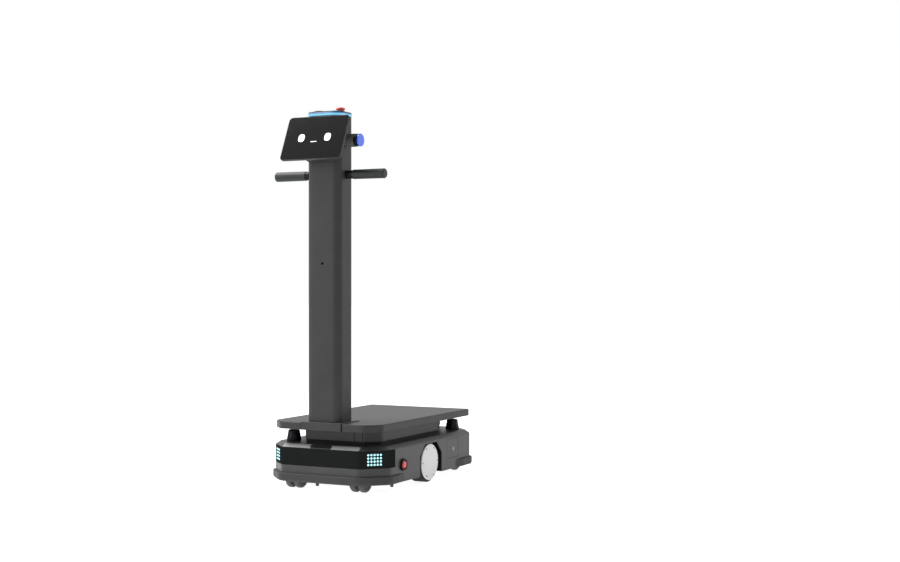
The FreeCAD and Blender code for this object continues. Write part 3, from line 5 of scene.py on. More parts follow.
import bmesh
import bpy
import numpy as np
from bpy.props import FloatProperty, FloatVectorProperty, IntProperty, PointerProperty
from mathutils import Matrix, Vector


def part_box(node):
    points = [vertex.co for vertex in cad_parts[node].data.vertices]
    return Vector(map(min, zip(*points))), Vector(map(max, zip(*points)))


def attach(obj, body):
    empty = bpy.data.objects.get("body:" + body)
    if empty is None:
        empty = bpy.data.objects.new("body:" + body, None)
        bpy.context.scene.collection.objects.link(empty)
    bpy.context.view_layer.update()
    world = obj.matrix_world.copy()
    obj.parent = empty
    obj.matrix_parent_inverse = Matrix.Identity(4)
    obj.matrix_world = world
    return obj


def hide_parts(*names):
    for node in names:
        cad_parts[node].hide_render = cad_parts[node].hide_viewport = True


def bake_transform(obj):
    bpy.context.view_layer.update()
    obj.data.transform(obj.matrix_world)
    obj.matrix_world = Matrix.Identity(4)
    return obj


bl_info = {
    "name": "Delivery robot",
    "version": (1, 0, 0),
    "blender": (4, 5, 0),
    "location": "View3D > Sidebar > Robot",
    "description": "Dresses the packed frame of a delivery robot with modelled pieces and materials",
    "category": "Object",
}

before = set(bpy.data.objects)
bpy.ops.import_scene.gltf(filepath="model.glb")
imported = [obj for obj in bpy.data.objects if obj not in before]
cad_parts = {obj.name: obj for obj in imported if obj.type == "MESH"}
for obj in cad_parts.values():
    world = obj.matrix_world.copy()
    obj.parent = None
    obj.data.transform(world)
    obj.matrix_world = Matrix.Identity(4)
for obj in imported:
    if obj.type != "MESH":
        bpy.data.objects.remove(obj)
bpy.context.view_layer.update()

# Shapes are worked out in millimetres from the middle of the base, on the floor. The robot faces -Y.
MM = 0.001
BASE_Y = sum(corner[1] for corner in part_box("body_shell")) / 2


def spans(node):
    """A CAD node's lowest and highest corner, in millimetres from the middle of the base."""
    low, high = (np.array(corner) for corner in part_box(node))
    shift = np.array([0, BASE_Y, 0])
    return (low - shift)/MM, (high - shift)/MM


def middle_of(node):
    """The middle of a CAD node's box, in the same millimetres."""
    low, high = spans(node)
    return (low + high)/2


def half_of(node):
    """Half the size of a CAD node's box along X, Y and Z."""
    low, high = spans(node)
    return (high - low)/2


def length(name, size, description):
    """A size property in millimetres, kept in Blender's metres."""
    return FloatProperty(name=name, description=description, default=size*MM, min=0, unit="LENGTH")


def colour(name, red, green, blue, description):
    """A colour property, given as it looks on screen and kept as light."""
    screen = np.array([red, green, blue])/255
    light = np.where(screen > 0.04045, ((screen + 0.055)/1.055)**2.4, screen/12.92)
    return FloatVectorProperty(name=name, description=description, default=tuple(light), size=3,
                               min=0, max=1, subtype="COLOR")


class RobotSizes(bpy.types.PropertyGroup):
    """Sizes that only the looks need; the rest comes from the frame."""
    corner_cut: length("Corner cut", 79, "45 degree cut at each corner of the base")
    corner_round: length("Corner rounding", 32, "Rounding of the base's upright edges")
    bevel_width: length("Bevel width", 19, "Top bevel of the base, in plan")
    bevel_height: length("Bevel height", 13, "Top bevel of the base, in height")
    shell_wall: length("Shell wall", 4, "Wall of the base shell")
    visor_rear: length("Visor end", 284, "How far forward of the middle the visor ends")
    bumper_fade: length("Bumper run-out", 60, "Length over which a bumper's end runs out")
    lamp_pitch: length("Lamp spacing", 11.3, "Spacing of the lamp dots")
    lamp_radius: length("Lamp dot", 3.9, "Radius of one lamp dot")
    pedestal_corner: length("Pedestal corner", 45, "Large corner cut of the pedestal")
    pedestal_small: length("Pedestal small corner", 13, "Corner cut beside a scanner")
    recess_x: length("Scanner recess across", 105, "Pedestal wall beside a scanner")
    recess_y: length("Scanner recess along", 145, "Pedestal wall behind a scanner")
    lidar_radius: length("Scanner foot", 26, "Radius of a scanner's foot")
    lidar_top: length("Scanner top", 21.5, "Radius of a scanner's cap")
    lidar_core: length("Scanner core", 18, "Radius inside a scanner's window")
    seam_x: length("Pedestal seam", 105, "First seam in the pedestal's end, to the side")
    seam_gap: length("Seam spacing", 33, "Between the pedestal's two seams")
    deck_corner: length("Deck corner", 50, "Corner cut of the deck")
    deck_round: length("Deck rounding", 30, "Rounding of the deck's front corners")
    deck_rear_round: length("Deck rear rounding", 8, "Rounding of the deck's rear corners")
    deck_edge: length("Deck edge", 5.5, "Rounding of the deck's top edge")
    hole_x: length("Deck holes across", 300, "Spacing of the fixing holes")
    hole_y: length("Deck holes along", 400, "Spacing of the fixing holes")
    hole_middle: length("Deck holes' middle", 40, "Middle of the fixing holes behind the base's middle")
    column_round: length("Column rounding", 29, "Rounding of the column's corners")
    column_wall: length("Column wall", 3.5, "Wall of the column")
    thread_height: length("Thread height", 801, "Accessory thread in the column's front")
    display_round: length("Display rounding", 14, "Rounding of the display's corners")
    eye_spacing: length("Eye spacing", 106.4, "Between the middles of the two eyes")
    eye_width: length("Eye width", 24.4, "Width of an eye")
    eye_height: length("Eye height", 30, "Height of an eye")
    mouth_width: length("Mouth width", 25, "Width of the mouth's dash")
    mouth_height: length("Mouth height", 2.4, "Height of the mouth's dash")
    mouth_drop: length("Mouth drop", 16, "Mouth below the middle of the screen")
    display_tilt: FloatProperty(name="Display lean", description="Lean of the display", subtype="ANGLE",
                                default=math.radians(23.9))
    spring_wire: length("Spring wire", 3, "Section of the spring wire")
    spring_turns: IntProperty(name="Spring turns", description="Turns of a suspension spring",
                              default=5, min=3)
    cover_screws: IntProperty(name="Cover screws", description="Screws in a wheel cover", default=6, min=3)


class RobotColours(bpy.types.PropertyGroup):
    """Colours of the finishes."""
    shell: colour("Shell", 53, 53, 53, "Moulded plastic of the base")
    # Painted highlight: a lighter grey for the strip on the front bevel, where light falls on the same shell
    # plastic
    bevel_highlight: colour("Trim", 116, 116, 116, "Satin strip on the front bevel")
    bumper: colour("Bumper", 54, 54, 54, "Rubber strips")
    deck: colour("Deck", 56, 56, 56, "Deck, plinth and pedestal")
    column: colour("Column", 58, 58, 58, "Painted column")
    # Painted light: the housing has the column's grey, set lighter here to cancel the shade that the display
    # casts on it
    housing: colour("Button housing", 94, 94, 94, "Painted housing of the call button")
    display: colour("Display", 49, 49, 49, "Display housing and neck")
    screen: colour("Screen", 9, 9, 9, "Glass of the display")
    visor: colour("Visor", 33, 35, 35, "Glossy band round the front")
    black: colour("Black parts", 20, 20, 22, "Caps, collars and scanner housings")
    window: colour("Scanner window", 26, 22, 34, "Dark window of a scanner")
    lamp: colour("Lamps", 222, 252, 252, "Light of the lamp dots")
    ring: colour("Ring light", 135, 213, 250, "Light of the ring")
    stop: colour("Stop buttons", 222, 50, 56, "Red heads")
    call: colour("Call button", 60, 108, 245, "Blue cap")
    grip: colour("Grips", 35, 39, 38, "Rubber of the grips")
    cover: colour("Wheel cover", 222, 222, 222, "Painted disc")
    tyre: colour("Tyres", 34, 34, 34, "Drive wheel rubber")
    # Painted light: the castors have the body's grey, set lighter here to cancel the shade under the base
    castor_painted_light: colour("Castors", 88, 88, 88, "Castor hoods and wheels")
    latch: colour("Latch", 132, 133, 134, "Lock of the hatch")
    steel: colour("Steel", 150, 152, 154, "Bare and plated steel")


class RobotStage(bpy.types.PropertyGroup):
    """Camera and light."""
    lens: FloatProperty(name="Lens", description="Focal length of the camera", default=57.04,
                        unit="CAMERA")
    camera_x: length("Camera to the side", 2639.45, "Camera to the robot's left")
    camera_y: length("Camera in front", 4672.59, "Camera ahead of the middle of the base")
    camera_z: length("Camera height", 746.79, "Camera above the floor")
    camera_turn: FloatProperty(name="Camera turn", description="Turn about Z", subtype="ANGLE",
                               default=math.radians(26.49))
    camera_rise: FloatProperty(name="Camera rise", description="Angle from straight down", subtype="ANGLE",
                               default=math.radians(89.92))
    ambient: FloatProperty(name="Ambient light", description="Strength of the surrounding light",
                           default=0.21, min=0)
    floor_light: FloatProperty(name="Floor light", description="Light that comes up from the floor",
                               default=0.75, min=0)


# Outlines: rows of points in a plane, counterclockwise round the material

def sides(points, closed=True):
    """Unit directions into and out of each corner of an outline."""
    points = np.asarray(points, float)
    before = np.roll(points, 1, axis=0)
    after = np.roll(points, -1, axis=0)
    if not closed:
        before[0] = 2*points[0] - points[1]
        after[-1] = 2*points[-1] - points[-2]
    into = points - before
    out = after - points
    return into/np.linalg.norm(into, axis=1)[:, None], out/np.linalg.norm(out, axis=1)[:, None]


def turns(into, out):
    """Signed turn at each corner: positive to the left."""
    cross = into[:, 0]*out[:, 1] - into[:, 1]*out[:, 0]
    return np.arctan2(cross, (into*out).sum(axis=1))


def left_of(direction):
    """A direction turned 90 degrees to the left."""
    return np.stack([-direction[:, 1], direction[:, 0]], axis=-1)


def rounded(points, radii, closed=True, steps=6):
    """Corners turned on arcs. An arc of radius r in a turn a starts r*tan(a/2) before its corner, and
    after an angle b it is r*sin(b) further along and r*(1 - cos(b)) to the inside of the turn."""
    points = np.asarray(points, float)
    radii = np.broadcast_to(np.asarray(radii, float), len(points))
    into, out = sides(points, closed)
    turn = turns(into, out)
    start = points - into*(radii*np.abs(np.tan(turn/2)))[:, None]
    inside = left_of(into)*np.sign(turn)[:, None]
    angle = np.abs(turn)[:, None]*np.linspace(0, 1, steps + 1)
    arcs = (start[:, None] + radii[:, None, None]*(np.sin(angle)[..., None]*into[:, None]
                                                   + (1 - np.cos(angle))[..., None]*inside[:, None]))
    return arcs.reshape(-1, 2)


def inset(points, amount):
    """Every side moved inwards by the amount: a corner moves by the sum of its two inward normals,
    divided by one plus their cosine."""
    into, out = sides(points)
    normal_in, normal_out = left_of(into), left_of(out)
    share = 1 + (normal_in*normal_out).sum(axis=1)
    return np.asarray(points, float) + amount*(normal_in + normal_out)/share[:, None]


def rectangle(half_width, half_height, x=0, y=0):
    """Four corners round a middle."""
    return np.array([(-1, -1), (1, -1), (1, 1), (-1, 1)])*(half_width, half_height) + (x, y)


def octagon(half_width, front, rear, corner):
    """A rectangle in plan with its corners cut at 45 degrees."""
    w, c = half_width, corner
    return np.array([(-w + c, -front), (w - c, -front), (w, -front + c), (w, rear - c),
                     (w - c, rear), (-w + c, rear), (-w, rear - c), (-w, -front + c)])


def eased(share):
    """A share from 0 to 1 that starts and ends gently: three times its square less twice its cube."""
    return share*share*(3 - 2*share)


# Surfaces: grids of points

Patch = namedtuple("Patch", "points loop_rows loop_columns caps")


def tower(outline, radii, profile, closed=False, steps=6):
    """Point (i, j) is point j of the outline, moved in by the inset of profile point i, at its height.
    Convex corners lose the inset from their radius and hollow ones gain it."""
    into, out = sides(outline)
    bend = np.sign(turns(into, out))
    rows = [rounded(inset(outline, amount), np.maximum(radii - amount*bend, 0), steps=steps)
            for amount in np.asarray(profile, float)[:, 0]]
    flat = np.array(rows)
    heights = np.broadcast_to(np.asarray(profile, float)[:, 1][:, None, None], flat.shape[:2] + (1,))
    return Patch(np.concatenate([flat, heights], axis=-1), closed, True, not closed)


ALONG = {"z": [0, 1, 2], "x": [2, 0, 1], "y": [0, 2, 1]}


def spun(profile, centre, axis="z", ring=False, steps=64):
    """A profile of (radius r, height h) turned about an axis: r*cos(a), r*sin(a) and h."""
    angle = np.linspace(0, 2*np.pi, steps, endpoint=False)
    radius, height = (np.asarray(profile, float)[:, i][:, None] for i in (0, 1))
    points = np.stack([radius*np.cos(angle), radius*np.sin(angle), height + 0*angle], axis=-1)
    return Patch(points[..., ALONG[axis]] + np.asarray(centre, float), ring, True, False)


def strip(path, section, reach):
    """A closed section of (outward, height) carried along an open path in plan: path point plus its
    outward normal times the section's outward size times the reach there."""
    path = path[np.r_[True, np.linalg.norm(np.diff(path, axis=0), axis=1) > 1e-6]]
    along = np.r_[0, np.cumsum(np.linalg.norm(np.diff(path, axis=0), axis=1))]
    spots = np.unique(np.r_[along, np.arange(0, along[-1], 6)])
    path = np.stack([np.interp(spots, along, path[:, i]) for i in (0, 1)], axis=-1)
    tangent = np.gradient(path, spots, axis=0)
    tangent /= np.linalg.norm(tangent, axis=1)[:, None]
    outward = np.stack([tangent[:, 1], -tangent[:, 0]], axis=-1)
    far = reach(spots, along[-1], outward)
    section = np.asarray(section, float)
    flat = path[:, None] + outward[:, None]*(far[:, None]*section[:, 0])[..., None]
    heights = np.broadcast_to(section[:, 1], flat.shape[:2])[..., None]
    return Patch(np.concatenate([flat, heights], axis=-1), False, True, True)


def loft(low_ring, high_ring, ease, rows):
    """Rings between two rings of points: each moves from one to the other by an easing share."""
    share = ease(np.linspace(0, 1, rows))[:, None, None]
    return Patch(low_ring*(1 - share) + high_ring*share, False, True, True)


def turned_to(patch, origin, axes):
    """A patch made in its own directions: x, y and z along the three axes, from an origin."""
    return patch._replace(points=patch.points @ np.array(axes, float) + np.asarray(origin, float))


def mirrored(patch):
    """The same patch on the robot's other side: x negated."""
    return patch._replace(points=patch.points*(-1, 1, 1))


def block(low, high, edge=0, corner=0):
    """A box whose upright corners and whose lower and upper edges are quarter rounds, or sharp."""
    low, high = np.asarray(low, float), np.asarray(high, float)
    middle, half = (low + high)/2, (high - low)/2
    outline = rectangle(half[0], half[1], middle[0], middle[1])
    return tower(outline, corner, edge_profile(low[2], high[2], edge, edge), steps=3)


def drill(radius, start, end, centre, axis="z", steps=64):
    """A round cutter between two places on its axis."""
    return spun([(0, start), (radius, start), (radius, end), (0, end)], centre, axis, steps=steps)


def prism_x(outline, low, high):
    """A closed block between two places along X, from an outline in (y, z)."""
    flat = np.asarray(outline, float)
    rows = [np.column_stack([np.full(len(flat), x), flat]) for x in (low, high)]
    return Patch(np.array(rows), False, True, True)


def edge_profile(low, high, low_edge, high_edge, steps=4):
    """Insets and heights of an upright wall whose lower and upper edges are quarter rounds."""
    angle = np.linspace(0, np.pi/2, steps + 1)
    lower = np.stack([low_edge*(1 - np.sin(angle)), low + low_edge*(1 - np.cos(angle))], axis=-1)
    upper = np.stack([high_edge*(1 - np.cos(angle)), high - high_edge*(1 - np.sin(angle))], axis=-1)
    return np.concatenate([lower, upper])


def faces_of(patch, offset):
    """Quads between neighbouring points of a grid; a looped side joins its last line to its first."""
    rows, columns = patch.points.shape[:2]
    r = np.arange(rows if patch.loop_rows else rows - 1)
    c = np.arange(columns if patch.loop_columns else columns - 1)
    r, c = np.meshgrid(r, c, indexing="ij")
    next_r, next_c = (r + 1) % rows, (c + 1) % columns
    corners = [r*columns + c, r*columns + next_c, next_r*columns + next_c, next_r*columns + c]
    faces = (np.stack(corners, axis=-1).reshape(-1, 4) + offset).tolist()
    if patch.caps:
        first = np.arange(columns) + offset
        faces += [first[::-1].tolist(), (first + (rows - 1)*columns).tolist()]
    return faces


# Pieces

SHARP = math.radians(32)  # edges with more of a turn than this stay sharp or get a bevel


def tidy_mesh(mesh):
    """Merge doubles, turn faces outwards and mark the sharp edges."""
    bm = bmesh.new()
    bm.from_mesh(mesh)
    bmesh.ops.remove_doubles(bm, verts=bm.verts, dist=2e-6)
    bmesh.ops.dissolve_degenerate(bm, edges=bm.edges, dist=1e-6)
    bmesh.ops.recalc_face_normals(bm, faces=bm.faces)
    bm.to_mesh(mesh)
    bm.free()
    mesh.shade_smooth()
    mesh.set_sharp_from_angle(angle=SHARP)


def new_object(name, patches, rims=None):
    """An object at the origin whose mesh holds the patches, in the frame's metres. Rims say how near
    each point lies to the rim of its lamp, from 0 to 1."""
    points = [patch.points.reshape(-1, 3) for patch in patches]
    offsets = np.cumsum([0] + [len(p) for p in points])
    faces = [face for patch, offset in zip(patches, offsets) for face in faces_of(patch, offset)]
    mesh = bpy.data.meshes.new(name)
    mesh.from_pydata(np.concatenate(points)*MM + (0, BASE_Y, 0), [], faces)
    if rims is not None:
        mesh.attributes.new("rim", "FLOAT", "POINT").data.foreach_set("value", rims.astype(np.float32))
    thing = bpy.data.objects.new(name, mesh)
    bpy.context.scene.collection.objects.link(thing)
    tidy_mesh(mesh)
    return thing


def carve(thing, *cutters):
    """Cut closed patches out of an object and keep the result as its mesh."""
    tool = new_object("cutter", cutters)
    change = thing.modifiers.new("carve", "BOOLEAN")
    change.operation = "DIFFERENCE"
    change.solver = "EXACT"
    change.object = tool
    bpy.context.view_layer.update()
    evaluated = thing.evaluated_get(bpy.context.evaluated_depsgraph_get())
    mesh = bpy.data.meshes.new_from_object(evaluated)
    thing.modifiers.clear()
    old = thing.data
    thing.data = mesh
    mesh.name = thing.name
    bpy.data.meshes.remove(old)
    bpy.data.meshes.remove(tool.data)
    tidy_mesh(mesh)


def soften(thing, width):
    """A small bevel on sharp edges, with shading that keeps flat faces flat."""
    bevel = thing.modifiers.new("edges", "BEVEL")
    bevel.width = width*MM
    bevel.segments = 2
    bevel.limit_method = "ANGLE"
    bevel.angle_limit = SHARP
    bevel.miter_outer = "MITER_ARC"
    shade(thing)


def shade(thing):
    """Shading that follows the larger faces, so that flat faces look flat."""
    thing.modifiers.new("shading", "WEIGHTED_NORMAL").keep_sharp = True


def dress(thing, finish, body, *nodes, slot=None):
    """Give a piece its finish and the body it rides on, if any, and name the CAD nodes it stands for."""
    thing.data.materials.clear()
    thing.data.materials.append(FINISHES[finish])
    if nodes:
        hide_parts(*nodes)
    if body:
        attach(thing, body)


def piece(name, finish, body, patches, nodes=(), soft=0, slot=None):
    """Build an object from patches and dress it."""
    thing = new_object(name, patches)
    if soft:
        soften(thing, soft)
    else:
        shade(thing)
    dress(thing, finish, body, *nodes, slot=slot)
    return thing


def mirrored_mesh(mesh, name):
    """A copy of a mesh on the robot's other side, its faces turned outwards again."""
    twin = mesh.copy()
    twin.name = name
    places = np.empty(len(twin.vertices)*3)
    twin.vertices.foreach_get("co", places)
    twin.vertices.foreach_set("co", (places.reshape(-1, 3)*(-1, 1, 1)).ravel())
    tidy_mesh(twin)
    return twin


def both_sides(name, finish, patch, node, body=""):
    """A left piece and its mirrored twin, on the base or on their side's own body."""
    for side, shape in (("left_", patch), ("right_", mirrored(patch))):
        piece(side + name, finish, side + body if body else "base", [shape], [side + node])


# Finishes

FINISHES = {}


def noise(tree, coordinates, scale, detail, stretch=None):
    """A noise texture over Object coordinates, stretched by a Mapping node where asked."""
    texture = tree.nodes.new("ShaderNodeTexNoise")
    texture.inputs["Scale"].default_value = scale
    texture.inputs["Detail"].default_value = detail
    source = coordinates.outputs["Object"]
    if stretch is not None:
        mapping = tree.nodes.new("ShaderNodeMapping")
        mapping.inputs["Scale"].default_value = stretch
        tree.links.new(source, mapping.inputs["Vector"])
        source = mapping.outputs["Vector"]
    tree.links.new(source, texture.inputs["Vector"])
    return texture.outputs["Fac"]


def ranged(tree, source, low, high, start=0.3, end=0.7):
    """The source between two values, mapped to between low and high."""
    node = tree.nodes.new("ShaderNodeMapRange")
    for name, number in (("From Min", start), ("From Max", end), ("To Min", low), ("To Max", high)):
        node.inputs[name].default_value = number
    tree.links.new(source, node.inputs["Value"])
    return node.outputs["Result"]


def blended(tree, factor, first, second):
    """A colour ramp between two colours."""
    ramp = tree.nodes.new("ShaderNodeValToRGB")
    ramp.color_ramp.elements[0].position = 0.3
    ramp.color_ramp.elements[1].position = 0.7
    ramp.color_ramp.elements[0].color = (*first, 1)
    ramp.color_ramp.elements[1].color = (*second, 1)
    tree.links.new(factor, ramp.inputs["Fac"])
    return ramp.outputs["Color"]


DRIFT = 9  # scale of the slow change of colour over a finish
GRAIN_STRENGTH = 0.6
COAT_ROUGH = 0.06
LAMP_ROUGH = 0.3
LAMP_CORE = 0.35  # share of the way to a lamp's rim that keeps its core colour


def surface(name, tint, rough, spread=0.08, gloss_spread=0.06, grain=1400, depth=0.02, metallic=0.0,
            specular=0.5, coat=0.0, stretch=None):
    """A finish whose colour and gloss drift slowly over Object coordinates, under a fine grain."""
    tree, shader = new_finish(name)
    coordinates = tree.nodes.new("ShaderNodeTexCoord")
    wander = noise(tree, coordinates, DRIFT, 4.0)
    tint = np.array(tint)
    tree.links.new(blended(tree, wander, tint*(1 - spread), np.minimum(tint*(1 + spread), 1)),
                   shader.inputs["Base Color"])
    fine = noise(tree, coordinates, grain, 2.0, stretch)
    tree.links.new(ranged(tree, fine, rough - gloss_spread, rough + gloss_spread),
                   shader.inputs["Roughness"])
    bump = tree.nodes.new("ShaderNodeBump")
    bump.inputs["Strength"].default_value = GRAIN_STRENGTH
    bump.inputs["Distance"].default_value = depth*MM
    tree.links.new(fine, bump.inputs["Height"])
    tree.links.new(bump.outputs["Normal"], shader.inputs["Normal"])
    shader.inputs["Metallic"].default_value = metallic
    shader.inputs["Specular IOR Level"].default_value = specular
    shader.inputs["Coat Weight"].default_value = coat
    shader.inputs["Coat Roughness"].default_value = COAT_ROUGH


def new_finish(name):
    """A new material kept under its name: its node tree and its shader."""
    material = bpy.data.materials.new(name)
    material.use_nodes = True
    FINISHES[name] = material
    return material.node_tree, material.node_tree.nodes["Principled BSDF"]


def glow(name, core, edge, strength, spread_from):
    """A lit surface: the core colour fades to the edge colour by a value from 0 to 1."""
    tree, shader = new_finish(name)
    shader.inputs["Base Color"].default_value = (*edge, 1)
    shader.inputs["Roughness"].default_value = LAMP_ROUGH
    shader.inputs["Emission Strength"].default_value = strength
    factor = spread_from(tree)
    ramp = tree.nodes.new("ShaderNodeValToRGB")
    ramp.color_ramp.elements[0].position = LAMP_CORE
    ramp.color_ramp.elements[0].color = (*core, 1)
    ramp.color_ramp.elements[1].color = (*edge, 1)
    tree.links.new(factor, ramp.inputs["Fac"])
    tree.links.new(ramp.outputs["Color"], shader.inputs["Emission Color"])


def from_middle(tree, low, high):
    """Distance from the middle of a height range as a share of its half, read from Object coordinates."""
    coordinates = tree.nodes.new("ShaderNodeTexCoord")
    split = tree.nodes.new("ShaderNodeSeparateXYZ")
    tree.links.new(coordinates.outputs["Object"], split.inputs["Vector"])
    signed = ranged(tree, split.outputs["Z"], -1, 1, low*MM, high*MM)
    node = tree.nodes.new("ShaderNodeMath")
    node.operation = "ABSOLUTE"
    tree.links.new(signed, node.inputs[0])
    return node.outputs["Value"]


def from_attribute(tree):
    """The mesh's own attribute that says how near its rim a point is."""
    node = tree.nodes.new("ShaderNodeAttribute")
    node.attribute_name = "rim"
    return node.outputs["Fac"]


class ROBOT_OT_finishes(bpy.types.Operator):
    """Make the materials"""
    bl_idname = "robot.finishes"
    bl_label = "Finishes"

    def execute(self, context):
        c = context.scene.robot_colours
        surface("shell_grey", c.shell, 0.42, depth=0.03, specular=0.4)
        # painted highlight along the front bevel
        surface("painted_highlight_grey", c.bevel_highlight, 0.34, depth=0.008, specular=0.5)
        surface("deck_grey", c.deck, 0.46, depth=0.03, specular=0.2)
        surface("column_grey", c.column, 0.42, depth=0.012, grain=900, specular=0.16)
        surface("display_grey", c.display, 0.38, depth=0.01, specular=0.16)
        # painted light: lighter than the column, against the display's shade
        surface("housing_painted_light_grey", c.housing, 0.42, specular=0.2)
        # castor finishes: painted light against the shade under the base
        surface("castor_grey", c.castor_painted_light, 0.5, specular=0.3)
        surface("bumper_rubber", c.bumper, 0.6, depth=0.04, grain=1100, specular=0.3)
        surface("seal_rubber", c.black, 0.7, specular=0.15, depth=0.03)
        surface("grip_rubber", c.grip, 0.55, depth=0.06, grain=1000, specular=0.35)
        surface("tyre_rubber", c.tyre, 0.7, depth=0.08, grain=700, specular=0.3)
        surface("castor_rubber", c.castor_painted_light, 0.6, specular=0.3)
        surface("visor_black", c.visor, 0.14, gloss_spread=0.02, depth=0.0, specular=0.0)
        surface("screen_black", c.screen, 0.16, gloss_spread=0.02, depth=0.0, specular=0.17)
        surface("lens_black", c.visor, 0.12, gloss_spread=0.02, depth=0.0, specular=0.12)
        surface("scanner_black", c.black, 0.4, depth=0.01, specular=0.15)
        surface("scanner_window", c.window, 0.14, gloss_spread=0.02, depth=0.0, specular=0.12)
        surface("cap_black", c.black, 0.42, depth=0.01, specular=0.25)
        surface("collar_black", c.black, 0.4, depth=0.01, specular=0.12)
        surface("battery_black", c.black, 0.55)
        surface("liner_black", c.black, 0.7, depth=0.04, specular=0.12)
        surface("stop_red", c.stop, 0.3, gloss_spread=0.04, depth=0.004, coat=0.3)
        surface("button_blue", c.call, 0.3, gloss_spread=0.04, depth=0.004, coat=0.3)
        surface("cover_white", c.cover, 0.42, spread=0.03, depth=0.006, grain=1800)
        for name, rough, grain, stretch in (
                ("frame_steel", 0.45, 300, (1, 1, 8)), ("bar_steel", 0.3, 500, (0.1, 1, 1)),
                ("box_metal", 0.5, 500, None), ("hub_metal", 0.4, 400, None),
                ("spring_steel", 0.35, 600, None), ("plate_steel", 0.42, 400, None)):
            surface(name, c.steel, rough, grain=grain, depth=0.005, metallic=1.0, stretch=stretch)
        surface("latch_metal", c.latch, 0.42, grain=600, depth=0.005, metallic=1.0)
        low, high = (corner[2] for corner in spans("light_ring"))
        core = np.array(c.ring)
        shade_line = 3.6
        glow("ring_light", core, core*(0.08, 0.16, 0.22), 0.9,
             lambda tree: from_middle(tree, low, high - shade_line))
        lamp = np.array(c.lamp)
        glow("lamp_white", lamp, lamp*(0.3, 0.6, 0.65), 1.0, from_attribute)
        glow("eye_white", (1, 1, 1), (0.9, 0.95, 1), 1.0, from_attribute)
        return {"FINISHED"}


def sizes_in_mm(context):
    """The sizes group with every length in millimetres."""
    group = context.scene.robot_sizes
    read = {name: getattr(group, name) for name in RobotSizes.__annotations__}
    kept = ("display_tilt", "cover_screws", "spring_turns")
    return SimpleNamespace(**{name: size if name in kept else size/MM for name, size in read.items()})


def base_plan(s):
    """The base in plan."""
    high = spans("body_shell")[1]
    return octagon(high[0], high[1], high[1], s.corner_cut)


def pedestal_plan(s):
    """The pedestal in plan: two opposite corners step in round the scanners."""
    side, end = spans("pedestal_cover")[1][:2]
    half = np.array([(-s.recess_x + s.pedestal_small, -end), (side - s.pedestal_corner, -end),
                     (side, -end + s.pedestal_corner), (side, s.recess_y), (s.recess_x, s.recess_y),
                     (s.recess_x, end - s.pedestal_small)])
    return np.concatenate([half, -half])


PEDESTAL_RADII = np.array([6, 20, 20, 6, 9, 6]*2)  # of the pedestal's corners, in the plan's order
STOP_BARREL = 20  # radius of a side stop button's cup inside the wall
HATCH_PIN = 4  # height of the hatch's pins above and below its panel


class ROBOT_OT_shell(bpy.types.Operator):
    """Build the base shell with its wheel arches and openings"""
    bl_idname = "robot.shell"
    bl_label = "Base shell"

    def execute(self, context):
        s = sizes_in_mm(context)
        low, high = spans("body_shell")
        top, rim, wall = high[2], low[2], s.shell_wall
        shoulder = top - s.bevel_height
        lip = s.bevel_width + 12
        outside = rounded([(0, rim), (0, shoulder), (s.bevel_width, top), (lip, top)], [0.8, 7, 7, 0],
                          closed=False, steps=5)
        inside = [(lip, top - wall), (s.bevel_width + 1.5, top - wall), (wall, shoulder - 2), (wall, rim)]
        profile = np.concatenate([inside, outside])
        shell = new_object("base_shell", [tower(base_plan(s), s.corner_round, profile)])
        for cutter in self.openings(s, low, high):
            carve(shell, cutter)
        soften(shell, 0.7)
        dress(shell, "shell_grey", "base", "body_shell")
        return {"FINISHED"}

    def openings(self, s, low, high):
        """Cutters for the wheel arches, visor, stop buttons, hatch, charging contacts and service hole."""
        gap, reach, rim, top = 0.4, high[0] + 20, low[2], high[2]
        wheel = middle_of("left_wheel_cover")[1]
        foot, crown, shoulder, crest, turn = 87, 47, 103, 144, 12
        arch = rounded([(wheel - foot, rim - 10), (wheel + foot, rim - 10), (wheel + foot, shoulder),
                        (wheel + crown, crest), (wheel - crown, crest), (wheel - foot, shoulder)],
                       [0, 0, turn, turn, turn, turn])
        visor_low, visor_high = spans("front_visor")
        visor = block((-reach, -high[1] - 20, visor_low[2] - gap),
                      (reach, -s.visor_rear + gap, visor_high[2] + gap))
        _, cup_y, cup_z = middle_of("side_stop_cups")
        stops = drill(STOP_BARREL + gap, -reach, reach, (0, cup_y, cup_z), "x")
        _, door_y, door_z = middle_of("hatch_door")
        _, door_half, door_up = half_of("hatch_door")
        door = rectangle(door_half + gap, door_up - HATCH_PIN + gap, door_y, door_z)
        hatch = prism_x(rounded(door, [5, 1, 1, 5]), high[0] - 10, reach)
        play, depth = 0.3, 15
        contact_low, contact_high = spans("charge_contacts")
        contacts = block((contact_low[0] - play, high[1] - depth, contact_low[2] - play),
                         (contact_high[0] + play, high[1] + depth, contact_high[2] + play), 0, 1)
        ledge = 14
        service = tower(pedestal_plan(s), PEDESTAL_RADII, [(ledge, top - 10), (ledge, top + 10)])
        return prism_x(arch, -reach, reach), visor, stops, hatch, contacts, service


